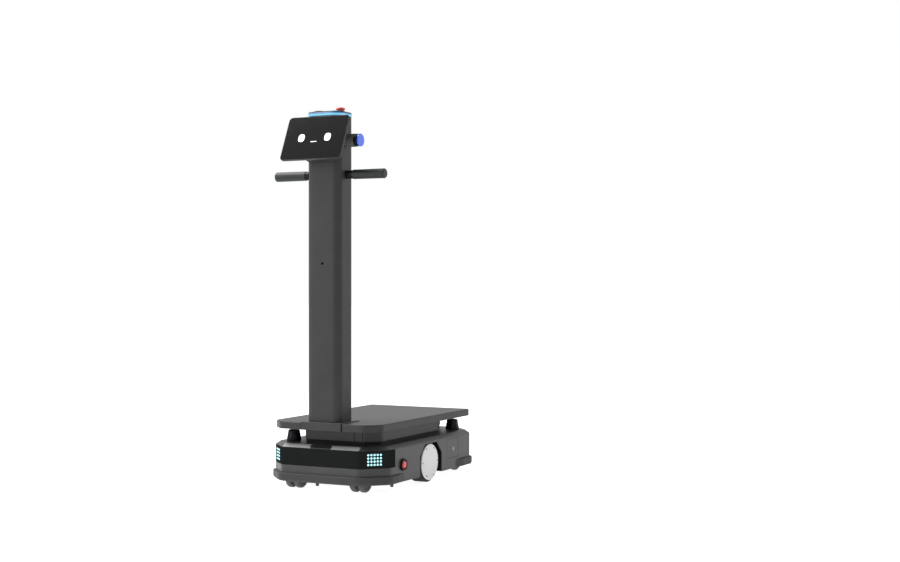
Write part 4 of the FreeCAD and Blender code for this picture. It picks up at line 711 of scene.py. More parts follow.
class ROBOT_OT_visor(bpy.types.Operator):
    """Build the glossy visor, its lamp dots and the front camera's window"""
    bl_idname = "robot.visor"
    bl_label = "Visor and lamps"

    def execute(self, context):
        s = sizes_in_mm(context)
        low, high = spans("front_visor")
        plan = base_plan(s)
        ends = np.array([(plan[7][0], -s.visor_rear), (plan[2][0], -s.visor_rear)])
        path = rounded([ends[0], plan[7], plan[0], plan[1], plan[2], ends[1]],
                       [0] + [s.corner_round]*4 + [0], closed=False)
        inner, turn = -4, 1.2
        section = rounded([(inner, low[2]), (0, low[2]), (0, high[2]), (inner, high[2])],
                          [0.2, turn, turn, 0.2])
        band = strip(path, section, lambda along, total, outward: np.ones(len(along)))
        piece("visor_band", "visor_black", "base", [band], ["front_visor"])
        self.lamps(s, plan, (low[2] + high[2])/2)
        self.camera(s)
        return {"FINISHED"}

    def lamps(self, s, plan, height):
        """Domes that stand proud by one less the square of the distance from their middle."""
        columns, lines, rings, spokes = 5, 4, 5, 18
        foot, crown, depth = 0.2, 0.6, 0.8
        share = np.linspace(0, 1, rings)[:, None]
        angle = np.linspace(0, 2*np.pi, spokes, endpoint=False)
        column, line = np.meshgrid(np.arange(columns) - (columns - 1)/2, np.arange(lines) - (lines - 1)/2,
                                   indexing="ij")
        patches = []
        for a, b in ((plan[1], plan[2]), (plan[7], plan[0])):
            side = (b - a)/np.linalg.norm(b - a)
            outward = np.array([side[1], -side[0]])
            for u, v in zip(column.ravel()*s.lamp_pitch, line.ravel()*s.lamp_pitch):
                across = u + s.lamp_radius*share*np.cos(angle)
                up = height + v + s.lamp_radius*share*np.sin(angle)
                proud = foot + crown*(1 - share**2) + 0*angle
                flat = (a + b)/2 + across[..., None]*side + proud[..., None]*outward
                dome = np.concatenate([flat, up[..., None]], axis=-1)
                back = dome[-1:] - np.r_[outward*depth, 0]
                patches.append(Patch(np.concatenate([dome, back]), False, True, False))
        rims = np.tile(np.repeat(np.r_[share.ravel(), 1], spokes), len(patches))
        dress(new_object("lamp_dots", patches, rims), "lamp_white", "base", "headlight_lenses")

    def camera(self, s):
        """A pill on the bevel, in the bevel's own directions, and the lighter strip that it stands on: a
        painted highlight along the front bevel.
        """
        high = spans("body_shell")[1]
        lean = math.atan2(s.bevel_height, s.bevel_width)
        axes = ((1, 0, 0), (0, math.cos(lean), math.sin(lean)), (0, -math.sin(lean), math.cos(lean)))
        middle = (0, -high[1] + s.bevel_width/2, high[2] - s.bevel_height/2)
        half_width, half_height, drop, proud = 43, 11, 0.8, 3
        pill = tower(rectangle(half_width, half_height, 0, -drop), half_height - 0.1,
                     edge_profile(-1, proud, 0.1, 1.4), steps=10)
        piece("front_camera_window", "lens_black", "base", [turned_to(pill, middle, axes)], ["front_camera"])
        # The strip is a painted highlight: a lighter sheet laid over the bevel and its ledge
        slope = math.hypot(s.bevel_width, s.bevel_height)/2
        end_gap, edge_gap = 3, 1.5
        highlight_sheet = tower(rectangle(high[0] - s.corner_cut - end_gap, slope - edge_gap, 0, 0.6), 2.5,
                      edge_profile(-0.8, 0.25, 0, 0.15), steps=4)
        piece("front_bevel_painted_highlight", "painted_highlight_grey", "base", [turned_to(highlight_sheet, middle, axes)], slot="shell_grey")


class ROBOT_OT_bumpers(bpy.types.Operator):
    """Build the rubber strips round the skirt's two ends"""
    bl_idname = "robot.bumpers"
    bl_label = "Bumpers"

    def execute(self, context):
        s = sizes_in_mm(context)
        plan = base_plan(s)
        for node, hand in (("front_bumper", 1), ("rear_bumper", -1)):
            low, high = spans(node)
            end, face = (high[1], low[1]) if hand > 0 else (low[1], high[1])
            corners = [plan[7], plan[0], plan[1], plan[2]]
            path = np.array([(plan[7][0], end*hand)] + corners + [(plan[2][0], end*hand)])*hand
            path = rounded(path, [0] + [s.corner_round + 8]*4 + [0], closed=False)
            side_reach = high[0] - plan[2][0]
            end_reach = abs(face) - abs(plan[0][1])

            def reach(along, total, outward):
                """The distance from either end, eased, towards the side's or the end's reach."""
                share = np.clip(np.minimum(along, total - along)/s.bumper_fade, 0, 1)
                return eased(share)*(side_reach + (end_reach - side_reach)*np.abs(outward[:, 1]))

            section = rounded([(-0.08, low[2]), (0.55, low[2]), (1, low[2] + 6), (1, high[2] - 4.5),
                               (0.86, high[2] - 2.8), (-0.08, high[2] - 1.5)],
                              [0, 0.25, 0.25, 0.12, 0.1, 0], steps=5)
            piece(node + "_strip", "bumper_rubber", "base", [strip(path, section, reach)], [node])
        return {"FINISHED"}


class ROBOT_OT_scanners(bpy.types.Operator):
    """Build the two laser scanners"""
    bl_idname = "robot.scanners"
    bl_label = "Scanners"

    def execute(self, context):
        s = sizes_in_mm(context)
        low, high = spans("lidar_bases")
        ring_low, ring_high = spans("lidar_windows")
        foot, tall = low[2], high[2] - low[2]
        sill, head = ring_low[2] - foot, ring_high[2] - foot
        radius, top, core = s.lidar_radius, s.lidar_top, s.lidar_core
        x, y = high[0] - radius, high[1] - radius
        gap, dip, knob = 0.2, 0.6, 7
        housings, windows = [], []
        for hand in (-1, 1):
            centre = (x*hand, y*hand, foot)
            base = rounded([(0, 0), (radius, 0), (radius, sill - gap), (core, sill - gap), (core, head + gap),
                            (top + 0.4, head + gap), (top, tall - 4), (top - 4, tall), (knob, tall),
                            (knob - 1, tall - dip), (0, tall - dip)],
                           [0, 1, 1.2, 0.3, 0.3, 0.5, 2, 3, 0.3, 0.3, 0], closed=False, steps=3)
            housings.append(spun(base, centre))
            window = rounded([(core + 0.1, sill), (radius - 0.6, sill), (top + 0.2, head),
                              (core + 0.1, head)], [0, 0.6, 0.6, 0])
            windows.append(spun(window, centre, ring=True))
        piece("scanner_housings", "scanner_black", "base", housings, ["lidar_bases"])
        piece("scanner_window_rings", "scanner_window", "base", windows, ["lidar_windows"])
        return {"FINISHED"}


class ROBOT_OT_pedestal(bpy.types.Operator):
    """Build the pedestal cover and the rubber band under it"""
    bl_idname = "robot.pedestal"
    bl_label = "Pedestal"

    def execute(self, context):
        s = sizes_in_mm(context)
        low, high = spans("pedestal_cover")
        plan = pedestal_plan(s)
        wall, gap, seam_half, seam_depth = 3, 0.3, 1.2, 2.2
        profile = [(wall, low[2] + 0.5), (wall - 0.5, low[2]), (1.2, low[2]), (0.3, low[2] + 0.4),
                   (0, low[2] + 1.4), (0, high[2]), (wall, high[2])]
        cover = new_object("pedestal_skin", [tower(plan, PEDESTAL_RADII, profile, closed=True)])
        plinth = spans("column_plinth")[1]
        carve(cover, block((-plinth[0] - gap, low[1] - 10, spans("deck_plate")[0][2]),
                           (plinth[0] + gap, plinth[1] + gap, high[2] + 5)))
        for x in s.seam_x, s.seam_x + s.seam_gap:
            for hand in (-1, 1):
                carve(cover, block((x*hand - seam_half, -hand*high[1] - seam_depth, low[2] - 5),
                                   (x*hand + seam_half, -hand*high[1] + seam_depth, high[2] + 5)))
        soften(cover, 0.4)
        dress(cover, "deck_grey", "base", "pedestal_cover")
        low, high = spans("pedestal_seal")
        inner, lip, waist, edge = 8, 2, 2.6, 3
        band = tower(plan, PEDESTAL_RADII, [(inner, low[2]), (lip, low[2]), (waist, low[2] + edge),
                                            (waist, high[2] - edge), (lip, high[2]), (inner, high[2])],
                     closed=True)
        piece("pedestal_band", "seal_rubber", "base", [band], ["pedestal_seal"])
        return {"FINISHED"}


class ROBOT_OT_deck(bpy.types.Operator):
    """Build the load deck and the plinth under the column"""
    bl_idname = "robot.deck"
    bl_label = "Deck and plinth"

    def execute(self, context):
        s = sizes_in_mm(context)
        low, high = spans("deck_plate")
        w, c, front, rear = high[0], s.deck_corner, low[1], high[1]
        plan = np.array([(-w + c, front), (w - c, front), (w, front + c), (w, rear), (-w, rear),
                         (-w, front + c)])
        radii = np.array([s.deck_round]*3 + [s.deck_rear_round]*2 + [s.deck_round])
        wall, hole, side_gap, rear_gap = 3, 4.25, 3.2, 0.4
        lip = wall + 20
        outside = rounded([(0, low[2]), (0, high[2]), (lip, high[2])], [0.8, s.deck_edge, 0], closed=False)
        inside = [(lip, high[2] - wall), (wall + 1, high[2] - wall), (wall + 1, low[2])]
        deck = new_object("load_deck", [tower(plan, radii, np.concatenate([inside, outside]))])
        plinth_low, plinth_high = spans("column_plinth")
        carve(deck, block((-plinth_high[0] - side_gap, low[1] - 10, low[2] - 10),
                          (plinth_high[0] + side_gap, plinth_high[1] + rear_gap, high[2] + 10)))
        carve(deck, *[drill(hole, -20, 20, (s.hole_x/2*a, s.hole_middle + s.hole_y/2*b, high[2]), steps=32)
                      for a in (-1, 1) for b in (-1, 1)])
        soften(deck, 0.5)
        dress(deck, "deck_grey", "base", "deck_plate")
        self.plinth(plinth_low, plinth_high, low[2])
        return {"FINISHED"}

    def plinth(self, low, high, foot):
        """The raised block, hollow below, and the leg that carries it."""
        wall, lip, leg_half = 6, 30, 20
        outside = rounded([(0, foot), (0, high[2]), (lip, high[2])], [0.6, 2.5, 0], closed=False)
        inside = [(lip, high[2] - wall), (wall, high[2] - wall), (wall, foot)]
        plan = rectangle(high[0], (high[1] - low[1])/2, 0, (low[1] + high[1])/2)
        body = tower(plan, 1.5, np.concatenate([inside, outside]))
        top = high[2] - wall - 0.2
        leg = tower(rectangle(leg_half, leg_half, 0, high[1] - wall - leg_half), 3,
                    [(3, low[2]), (0, low[2]), (0, top), (3, top)], closed=True)
        piece("plinth_block", "deck_grey", "base", [body, leg], ["column_plinth"], soft=0.3)


def column_plan():
    """The column in plan."""
    middle, half = middle_of("column_tube"), half_of("column_tube")
    return rectangle(half[0], half[1], 0, middle[1])


class ROBOT_OT_column(bpy.types.Operator):
    """Build the column and its accessory thread"""
    bl_idname = "robot.column"
    bl_label = "Column"

    def execute(self, context):
        s = sizes_in_mm(context)
        low, high = spans("column_tube")
        wall = s.column_wall
        profile = [(wall, low[2]), (0.5, low[2]), (0, low[2] + 0.5), (0, high[2]), (wall, high[2])]
        skin = tower(column_plan(), s.column_round, profile, closed=True, steps=12)
        column = new_object("column_skin", [skin])
        bar, bar_radius = middle_of("handle_bar"), half_of("handle_bar")[2]
        carve(column, drill(bar_radius + 0.2, -100, 100, (0, bar[1], bar[2]), "x"))
        seat, bore, flange, depth = 6.5, 4.25, 9, 12
        thread = (0, low[1], s.thread_height)
        carve(column, drill(seat, -30, 10, thread, "y", steps=32))
        soften(column, 0.4)
        dress(column, "column_grey", "base", "column_tube")
        insert = rounded([(bore, depth), (bore, 0.6), (4.8, 0), (seat - 0.1, 0), (seat - 0.1, 1), (flange, 1),
                          (flange, depth)], [0, 0.2, 0.2, 0.3, 0, 0, 0], steps=2)
        piece("thread_insert", "column_grey", "base", [spun(insert, thread, "y", ring=True, steps=40)])
        return {"FINISHED"}


class ROBOT_OT_crown(bpy.types.Operator):
    """Build the light ring, the cap, the ceiling camera and the top stop button"""
    bl_idname = "robot.crown"
    bl_label = "Light ring and cap"

    def execute(self, context):
        s = sizes_in_mm(context)
        low, high = spans("light_ring")
        plan = column_plan()
        depth, proud = 6, -2
        ring = rounded([(depth, low[2]), (proud, low[2]), (proud, high[2]), (depth, high[2])], [0, 3, 3, 0],
                       steps=5)
        piece("ring_light_band", "ring_light", "base",
              [tower(plan, s.column_round, ring, closed=True, steps=12)], ["light_ring"])
        cap_low, cap_high = spans("column_cap")
        plug, seat, rim_drop = 6.2, high[2] + 0.05, 2.6
        lid = rounded([(plug + 0.8, cap_low[2]), (plug, cap_low[2] + 0.4), (plug, seat), (0, seat),
                       (0, cap_high[2] - rim_drop), (15, cap_high[2]), (20, cap_high[2])],
                      [0, 0, 0, 0, 1.6, 4, 0], closed=False)
        cap = new_object("column_lid", [tower(plan, s.column_round, lid, steps=12)])
        stop, flange = middle_of("top_stop_collar"), half_of("top_stop_collar")[0]
        hole, bore = flange - 1.5, flange - 3.05
        top = (stop[0], stop[1], cap_high[2])
        carve(cap, drill(hole, -60, 60, top, steps=48))
        soften(cap, 0.3)
        dress(cap, "cap_black", "base", "column_cap")
        self.stop(top, hole, bore, flange)
        self.ceiling_camera(cap_high[2])
        return {"FINISHED"}

    def stop(self, top, hole, bore, flange):
        """The top stop button's collar, and its mushroom head above a stem."""
        proud, under = 1.2, 18
        collar = rounded([(bore, -under), (hole - 0.1, -under), (hole - 0.1, 0), (flange, 0), (flange, 0.7),
                          (flange - 0.7, proud), (bore, proud)], [0, 0, 0, 0.2, 0.4, 0.4, 0.3], steps=3)
        piece("top_stop_ring", "collar_black", "base", [spun(collar, top, ring=True)], ["top_stop_collar"])
        wide, crown = half_of("top_stop_button")[0], spans("top_stop_button")[1][2] - top[2]
        stem, foot, dip, dish = bore - 0.05, 14, 0.4, 5
        head = rounded([(0, -foot), (stem, -foot), (stem, crown - 8), (wide - 1, crown - 8),
                        (wide, crown - 6.5), (wide, crown - 3), (wide - 4, crown), (dish, crown),
                        (dish - 0.8, crown - dip), (0, crown - dip)],
                       [0, 0.5, 0.5, 0.8, 1, 2.6, 4, 0.5, 0.5, 0], closed=False, steps=5)
        piece("top_stop_head", "stop_red", "top_stop", [spun(head, top)], ["top_stop_button"])

    def ceiling_camera(self, height):
        """A puck with a raised ring round a small domed lens."""
        wide, ring, dish, lens_radius, floor = 19.5, 5.5, 4.5, 6.6, 4.2
        puck = rounded([(0, 0), (wide, 0), (wide, 4), (17, ring), (11.5, ring), (10.5, dish),
                        (lens_radius, dish), (lens_radius - 0.3, floor), (0, floor)],
                       [0, 0.3, 1, 1.5, 0.5, 0.5, 0.2, 0, 0], closed=False, steps=4)
        lens = rounded([(0, 4.3), (6, 4.3), (5.2, 5.6), (0, 6.3)], [0, 0.2, 1.5, 0], closed=False, steps=5)
        eye = middle_of("ceiling_camera")
        place = (eye[0], eye[1], height)
        piece("ceiling_camera_puck", "cap_black", "base", [spun(puck, place)], ["ceiling_camera"])
        piece("ceiling_camera_lens", "lens_black", "base", [spun(lens, place, steps=40)])


class ROBOT_OT_display(bpy.types.Operator):
    """Build the display, its face and its neck"""
    bl_idname = "robot.display"
    bl_label = "Display"

    def execute(self, context):
        s = sizes_in_mm(context)
        glass_low, glass_high = spans("display_glass")
        tilt, thick, border = s.display_tilt, 2, 2.1
        half_width = glass_high[0] + border
        half_height = (glass_high[2] - glass_low[2] - thick*math.sin(tilt))/2/math.cos(tilt) + border
        middle = np.array([0, (glass_low[1] + glass_high[1] - thick*math.cos(tilt))/2,
                           (glass_low[2] + glass_high[2] + thick*math.sin(tilt))/2])
        depth, seat, behind = 12, 2, 30
        axes = ((1, 0, 0), (0, math.sin(tilt), math.cos(tilt)), (0, math.cos(tilt), -math.sin(tilt)))
        outline = rectangle(half_width, half_height)
        housing = rounded([(behind, thick), (seat, thick), (seat, 0), (0, 0), (0, depth - 2.5), (5, depth),
                           (behind, depth)], [0, 0, 0.3, 1.2, 3, 2, 0], closed=False, steps=4)
        glass = rounded([(behind, thick), (border, thick), (border, 0), (behind, 0)], [0, 0, 0.5, 0],
                        closed=False, steps=4)
        for name, finish, profile, node in (
                ("display_housing", "display_grey", housing, "display_shell"),
                ("display_front_glass", "screen_black", glass, "display_glass")):
            body = tower(outline, s.display_round, profile, steps=10)
            piece(name, finish, "base", [turned_to(body, middle, axes)], [node])
        self.face(s, middle, axes)
        self.neck(s, middle, axes, depth)
        return {"FINISHED"}

    def face(self, s, middle, axes):
        """Two eyes and a dash, each an outline with round corners and a fan of rings from its middle."""
        share = np.array([0, 0.6, 0.9, 1.0])[:, None, None]
        proud = 0.12
        oval = rounded(rectangle(s.eye_width/2, s.eye_height/2), s.eye_width*0.42, steps=12)
        dash = rounded(rectangle(s.mouth_width/2, s.mouth_height/2), s.mouth_height/2 - 0.01, steps=8)
        patches = []
        for outline, place in ((oval, (-s.eye_spacing/2, 0)), (oval, (s.eye_spacing/2, 0)),
                               (dash, (0, -s.mouth_drop))):
            flat = outline*share + place
            front = np.concatenate([flat, np.full(flat.shape[:2] + (1,), -proud)], axis=-1)
            rim = front[-1:] + (0, 0, proud)
            patches.append(turned_to(Patch(np.concatenate([front, rim]), False, True, False), middle, axes))
        evenly = np.zeros(sum(patch.points[..., 0].size for patch in patches))
        dress(new_object("display_face", patches, evenly), "eye_white", "base", slot="lamp_white")

    def neck(self, s, middle, axes, depth):
        """A loft from a rounded rectangle on the display's back to one that lies on the column."""
        half, corner = half_of("display_neck")[0], 12
        back_half, front_half, back_drop, front_drop = 63, 66, 3, 18
        back = rounded(rectangle(half, back_half, 0, -back_drop), corner, steps=8)
        back = np.column_stack([back, np.full(len(back), depth - 1.0)]) @ np.array(axes) + middle
        front = rounded(rectangle(half - 2, front_half, 0, middle[2] - front_drop), corner, steps=8)
        low, high = spans("column_tube")
        turn, sunk = s.column_round, 0.5
        beyond = np.clip(np.abs(front[:, 0]) - (high[0] - turn), 0, turn)
        column_front = low[1] + turn - np.sqrt(turn**2 - beyond**2)
        front = np.column_stack([front[:, 0], column_front + sunk, front[:, 1]])
        body = loft(back, front, lambda share: eased(share)*0.35 + share*0.65, rows=14)
        piece("display_neck_saddle", "display_grey", "base", [body], ["display_neck"])


class ROBOT_OT_handles(bpy.types.Operator):
    """Build the grips and their collars"""
    bl_idname = "robot.handles"
    bl_label = "Handles"

    def execute(self, context):
        low, high = spans("left_grip")
        middle, radius = middle_of("left_grip"), half_of("left_grip")[2]
        bore, plug, long = 11.1, 6, high[0] - low[0]
        grip = rounded([(bore, 0), (radius - 0.4, 0), (radius, long - 20), (radius, long), (0, long),
                        (0, long - plug), (bore, long - plug)], [0, 2.5, 10, 5, 0, 0, 0], steps=6)
        patch = spun(grip, (low[0], middle[1], middle[2]), "x", ring=True, steps=56)
        both_sides("handle_grip", "grip_rubber", patch, "grip")
        column_side = spans("column_tube")[1][0]
        gap, rim, waist = low[0] - column_side, 15, 13.4
        collar = rounded([(bore, 0), (rim, 0), (rim, gap*0.4), (waist, gap*0.42), (waist, gap*0.5),
                          (rim, gap*0.52), (rim, gap - 0.1), (bore, gap - 0.1)],
                         [0, 0.8, 0.6, 0.3, 0.3, 0.6, 1.2, 0], steps=3)
        patch = spun(collar, (column_side, middle[1], middle[2]), "x", ring=True, steps=48)
        piece("handle_collar_rings", "collar_black", "base", [patch, mirrored(patch)], ["handle_collars"])
        return {"FINISHED"}


class ROBOT_OT_call_button(bpy.types.Operator):
    """Build the call button on the column's left side"""
    bl_idname = "robot.call_button"
    bl_label = "Call button"

    def execute(self, context):
        low, high = spans("call_button_housing")
        _, y, z = middle_of("call_button_housing")
        radius, end = half_of("call_button_housing")[2], high[0]
        bore, well, sunk, deep = 8, 15.4, 14, end - low[0]
        housing = rounded([(bore, 0), (radius, 0), (radius, deep), (well, deep), (well, deep - sunk),
                           (bore, deep - sunk)], [0, 0.5, 1.4, 0.3, 0, 0], steps=4)
        # The housing's lighter finish is painted light, against the display's shade
        piece("call_housing", "housing_painted_light_grey", "base", [spun(housing, (low[0], y, z), "x", ring=True)],
              ["call_button_housing"], slot="column_grey")
        top = spans("call_button_collar")[1][0] - end
        inner, outer = 15.1, radius - 1
        ring = rounded([(inner, 0), (outer, 0), (outer, 3), (outer - 0.8, 3.6), (outer, 4.2), (outer, top),
                        (inner, top)], [0, 0.3, 0.3, 0.4, 0.3, 1.4, 0.3], steps=3)
        piece("call_collar_ring", "collar_black", "base", [spun(ring, (end, y, z), "x", ring=True)],
              ["call_button_collar"])
        room, stem, wide, foot = 3.8, 15, 22.8, 9
        under, face = top + room, spans("call_button")[1][0] - end
        cap = rounded([(0, -foot), (stem, -foot), (stem, under), (wide, under), (wide, face - 0.2),
                       (0, face)], [0, 0.3, 0.2, 0.6, 1.8, 0], closed=False, steps=5)
        piece("call_button_cap", "button_blue", "call_cap", [spun(cap, (end, y, z), "x")], ["call_button"])
        return {"FINISHED"}


class ROBOT_OT_side_stops(bpy.types.Operator):
    """Build the stop buttons in the base's sides"""
    bl_idname = "robot.side_stops"
    bl_label = "Side stop buttons"

    def execute(self, context):
        _, y, z = middle_of("side_stop_cups")
        wall = spans("body_shell")[1][0]
        bore, under, floor, flange, inner = 8.05, 17, 14, 21.4, 16.6
        cup = rounded([(bore, -under), (STOP_BARREL, -under), (STOP_BARREL, 0), (flange, 0), (flange, 2),
                       (flange - 0.8, 7.6), (18.4, 8.2), (inner + 0.2, 7.4), (inner, -floor), (bore, -floor)],
                      [0, 0, 0, 0.1, 0.6, 0.8, 0.8, 0.5, 1, 0], steps=3)
        patch = spun(cup, (wall, y, z), "x", ring=True)
        piece("side_stop_rings", "collar_black", "base", [patch, mirrored(patch)], ["side_stop_cups"])
        top, wide = spans("left_stop_button")[1][0] - wall, half_of("left_stop_button")[2]
        stem, foot, dip, dish = 8, 24, 0.4, 6
        head = rounded([(0, -foot), (stem, -foot), (stem, top - 11), (wide - 1.4, top - 11),
                        (wide, top - 9.5), (wide, top - 3.6), (wide - 4.4, top), (dish, top),
                        (dish - 1, top - dip), (0, top - dip)],
                       [0, 0.5, 0.5, 0.5, 1, 2.5, 3, 0.5, 0.5, 0], closed=False, steps=5)
        both_sides("stop_head", "stop_red", spun(head, (wall, y, z), "x"), "stop_button", "stop")
        return {"FINISHED"}


class ROBOT_OT_hatch(bpy.types.Operator):
    """Build the hatch in the left side and its latch"""
    bl_idname = "robot.hatch"
    bl_label = "Hatch"

    def execute(self, context):
        outer, wall, corner = spans("hatch_door")[1][0], 4, 4
        _, y, z = middle_of("hatch_door")
        _, half_width, half_height = half_of("hatch_door")
        outline = rectangle(half_width, half_height - HATCH_PIN, y, z)
        angle = np.linspace(-np.pi/2, np.pi/2, 9)
        edge = wall/2*np.stack([1 - np.cos(angle), np.sin(angle)], axis=-1)
        door = tower(outline, np.array([corner, 2, 2, corner]), edge, steps=6)
        door = door._replace(points=door.points[..., [2, 0, 1]] + (outer - wall/2, 0, 0))
        panel = new_object("hatch_panel", [door])
        radius, head, proud, depth = 6, 7.5, 1.6, wall + 6
        y, z = middle_of("hatch_latch")[1], spans("hatch_latch")[1][2] - head
        carve(panel, drill(radius + 0.1, -30, 30, (outer, y, z), "x", steps=40))
        shade(panel)
        dress(panel, "shell_grey", "hatch", "hatch_door")
        barrel = rounded([(0, -depth), (radius, -depth), (radius, 0.1), (head, 0.1), (head, proud),
                          (0, proud)], [0, 0, 0.1, 0.1, 0.6, 0], closed=False, steps=3)
        tongue = block((outer - depth, y - 4, z - 16), (outer - depth + 3, y + 4, z), 0.4, 0.4)
        latch = new_object("hatch_lock", [spun(barrel, (outer, y, z), "x", steps=48), tongue])
        slit, slit_up, floor = 0.9, 4.5, 0.9
        carve(latch, block((outer + floor, y - slit, z - slit_up),
                           (outer + 5, y + slit, z + slit_up), 0, 0.8))
        dress(latch, "latch_metal", "latch", "hatch_latch")
        return {"FINISHED"}


class ROBOT_OT_drive_wheels(bpy.types.Operator):
    """Build the drive wheels' tyres and cover discs"""
    bl_idname = "robot.drive_wheels"
    bl_label = "Drive wheels"

    def execute(self, context):
        s = sizes_in_mm(context)
        self.tyres()
        low, high = spans("left_wheel_cover")
        middle, radius = middle_of("left_wheel_cover"), half_of("left_wheel_cover")[2]
        thick = high[0] - low[0]
        disc = rounded([(0, 0), (radius, 0), (radius, thick - 2), (radius - 5, thick - 0.5), (0, thick)],
                       [0, 0.3, 1.5, 6, 0], closed=False, steps=5)
        hub = np.array([low[0], middle[1], middle[2]])
        left = new_object("left_cover_disc", [spun(disc, hub, "x", steps=96)])
        circle, sink, head, foot, recess, key, key_depth = 57, 3.1, 2.9, 2.6, 0.4, 1.4, 1.4
        socket = rounded([(0, -foot), (head, -foot), (head, -recess), (key, -recess), (key, -key_depth),
                          (0, -key_depth)], [0, 0, 0.5, 0.2, 0, 0], closed=False, steps=2)
        sinks, screws = [], []
        for angle in 2*np.pi*(np.arange(s.cover_screws) + 0.5)/s.cover_screws:
            spot = hub + (thick, circle*math.sin(angle), circle*math.cos(angle))
            sinks.append(drill(sink, -1.6, 3, spot, "x", steps=24))
            screws.append(spun(socket, spot, "x", steps=24))
        carve(left, *sinks)
        right = bpy.data.objects.new("right_cover_disc", mirrored_mesh(left.data, "right_cover_disc"))
        context.scene.collection.objects.link(right)
        for side, cover in (("left", left), ("right", right)):
            soften(cover, 0.25)
            dress(cover, "cover_white", side + "_wheel", side + "_wheel_cover")
        piece("left_cover_screws", "lens_black", "left_wheel", screws)
        piece("right_cover_screws", "lens_black", "right_wheel", [mirrored(screw) for screw in screws])
        return {"FINISHED"}

    def tyres(self):
        """Tyres with three grooves and rounded shoulders."""
        low, high = spans("left_tyre")
        middle, radius = middle_of("left_tyre"), half_of("left_tyre")[2]
        width = high[0] - low[0]
        seat, shoulder, mouth, root, depth = 58.1, 6, 2.2, 1.4, 2
        grooves = [point for x in (width*0.3, width*0.5, width*0.7)
                   for point in ((radius, x - mouth), (radius - depth, x - root),
                                 (radius - depth, x + root), (radius, x + mouth))]
        section = [(seat, 0), (radius - shoulder, 0), (radius, shoulder), *grooves,
                   (radius, width - shoulder), (radius - shoulder, width), (seat, width)]
        radii = [0.5, 2, 3] + [0.3]*len(grooves) + [3, 2, 0.5]
        section = rounded(section, radii, steps=2)
        tyre = spun(section, (low[0], middle[1], middle[2]), "x", ring=True, steps=96)
        both_sides("drive_tyre", "tyre_rubber", tyre, "tyre", "wheel")


class ROBOT_OT_castors(bpy.types.Operator):
    """Build the wheels of the castors"""
    bl_idname = "robot.castors"
    bl_label = "Castors"

    def execute(self, context):
        for name in ("front_left", "front_right", "rear_left", "rear_right"):
            node = "castor_wheels_" + name
            middle, half = middle_of(node), half_of(node)
            radius, bore, gap = half[2], 4.05, 7
            wide = half[0] - gap
            section = rounded([(bore, 0), (radius - 4, 0), (radius, 4), (radius, wide - 5),
                               (radius - 4, wide), (radius - 11, wide), (radius - 13, wide - 2),
                               (bore, wide - 2)],
                              [0, 2, 4, 5, 2, 0.5, 1, 0], steps=4)
            wheel = spun(section, (gap, 0, 0), "x", ring=True, steps=56)
            wheels = [part._replace(points=part.points + middle) for part in (wheel, mirrored(wheel))]
            piece("castor_tyres_" + name, "castor_rubber", "castor_axle_" + name, wheels, [node])
        return {"FINISHED"}


class ROBOT_OT_springs(bpy.types.Operator):
    """Build the suspension springs"""
    bl_idname = "robot.springs"
    bl_label = "Springs"

    def execute(self, context):
        """A section at (out, up) goes to out*cos(a), out*sin(a) and up plus a height that climbs with
        the turn. The first and last turns are nearly closed."""
        s = sizes_in_mm(context)
        wire, turns_up = s.spring_wire, s.spring_turns
        closed_pitch = wire*1.1
        turn = np.linspace(0, turns_up, turns_up*36 + 1)
        angle = 2*np.pi*turn[:, None]
        for side in "left", "right":
            node = side + "_spring"
            low, high = spans(node)
            middle = middle_of(node)
            section = rounded(rectangle(wire/2, wire/2, (high[0] - low[0] - wire)/2, 0), 0.5, steps=2)
            foot, head = low[2] + wire/2, high[2] - wire/2
            climb = np.interp(turn, [0, 1, turns_up - 1, turns_up],
                              [foot, foot + closed_pitch, head - closed_pitch, head])
            out, up = section.T
            points = np.stack([middle[0] + out*np.cos(angle), middle[1] + out*np.sin(angle),
                               climb[:, None] + up + 0*angle], axis=-1)
            wound = Patch(points, False, True, True)
            coil = piece(side + "_spring_coil", "spring_steel", None, [wound], [node])
            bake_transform(coil)
        return {"FINISHED"}


class ROBOT_OT_frame_nodes(bpy.types.Operator):
    """Give the CAD nodes that stay visible their finishes"""
    bl_idname = "robot.frame_nodes"
    bl_label = "Frame parts"

    def execute(self, context):
        finishes = {
            "chassis_frame": "frame_steel", "wheel_wells": "liner_black", "battery_pack": "battery_black",
            "control_box": "box_metal", "pedestal_frame": "frame_steel", "handle_bar": "bar_steel",
            "charge_contacts": "collar_black", "floor_sensors": "shell_grey", "castor_plates": "plate_steel",
            "left_swing_arm": "frame_steel", "right_swing_arm": "frame_steel",
            "left_hub": "hub_metal", "right_hub": "hub_metal",
            "castor_front_left": "castor_grey", "castor_front_right": "castor_grey",
            "castor_rear_left": "castor_grey", "castor_rear_right": "castor_grey",
        }
        for name, finish in finishes.items():
            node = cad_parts[name]
            node.data.materials.clear()
            node.data.materials.append(FINISHES[finish])
        return {"FINISHED"}


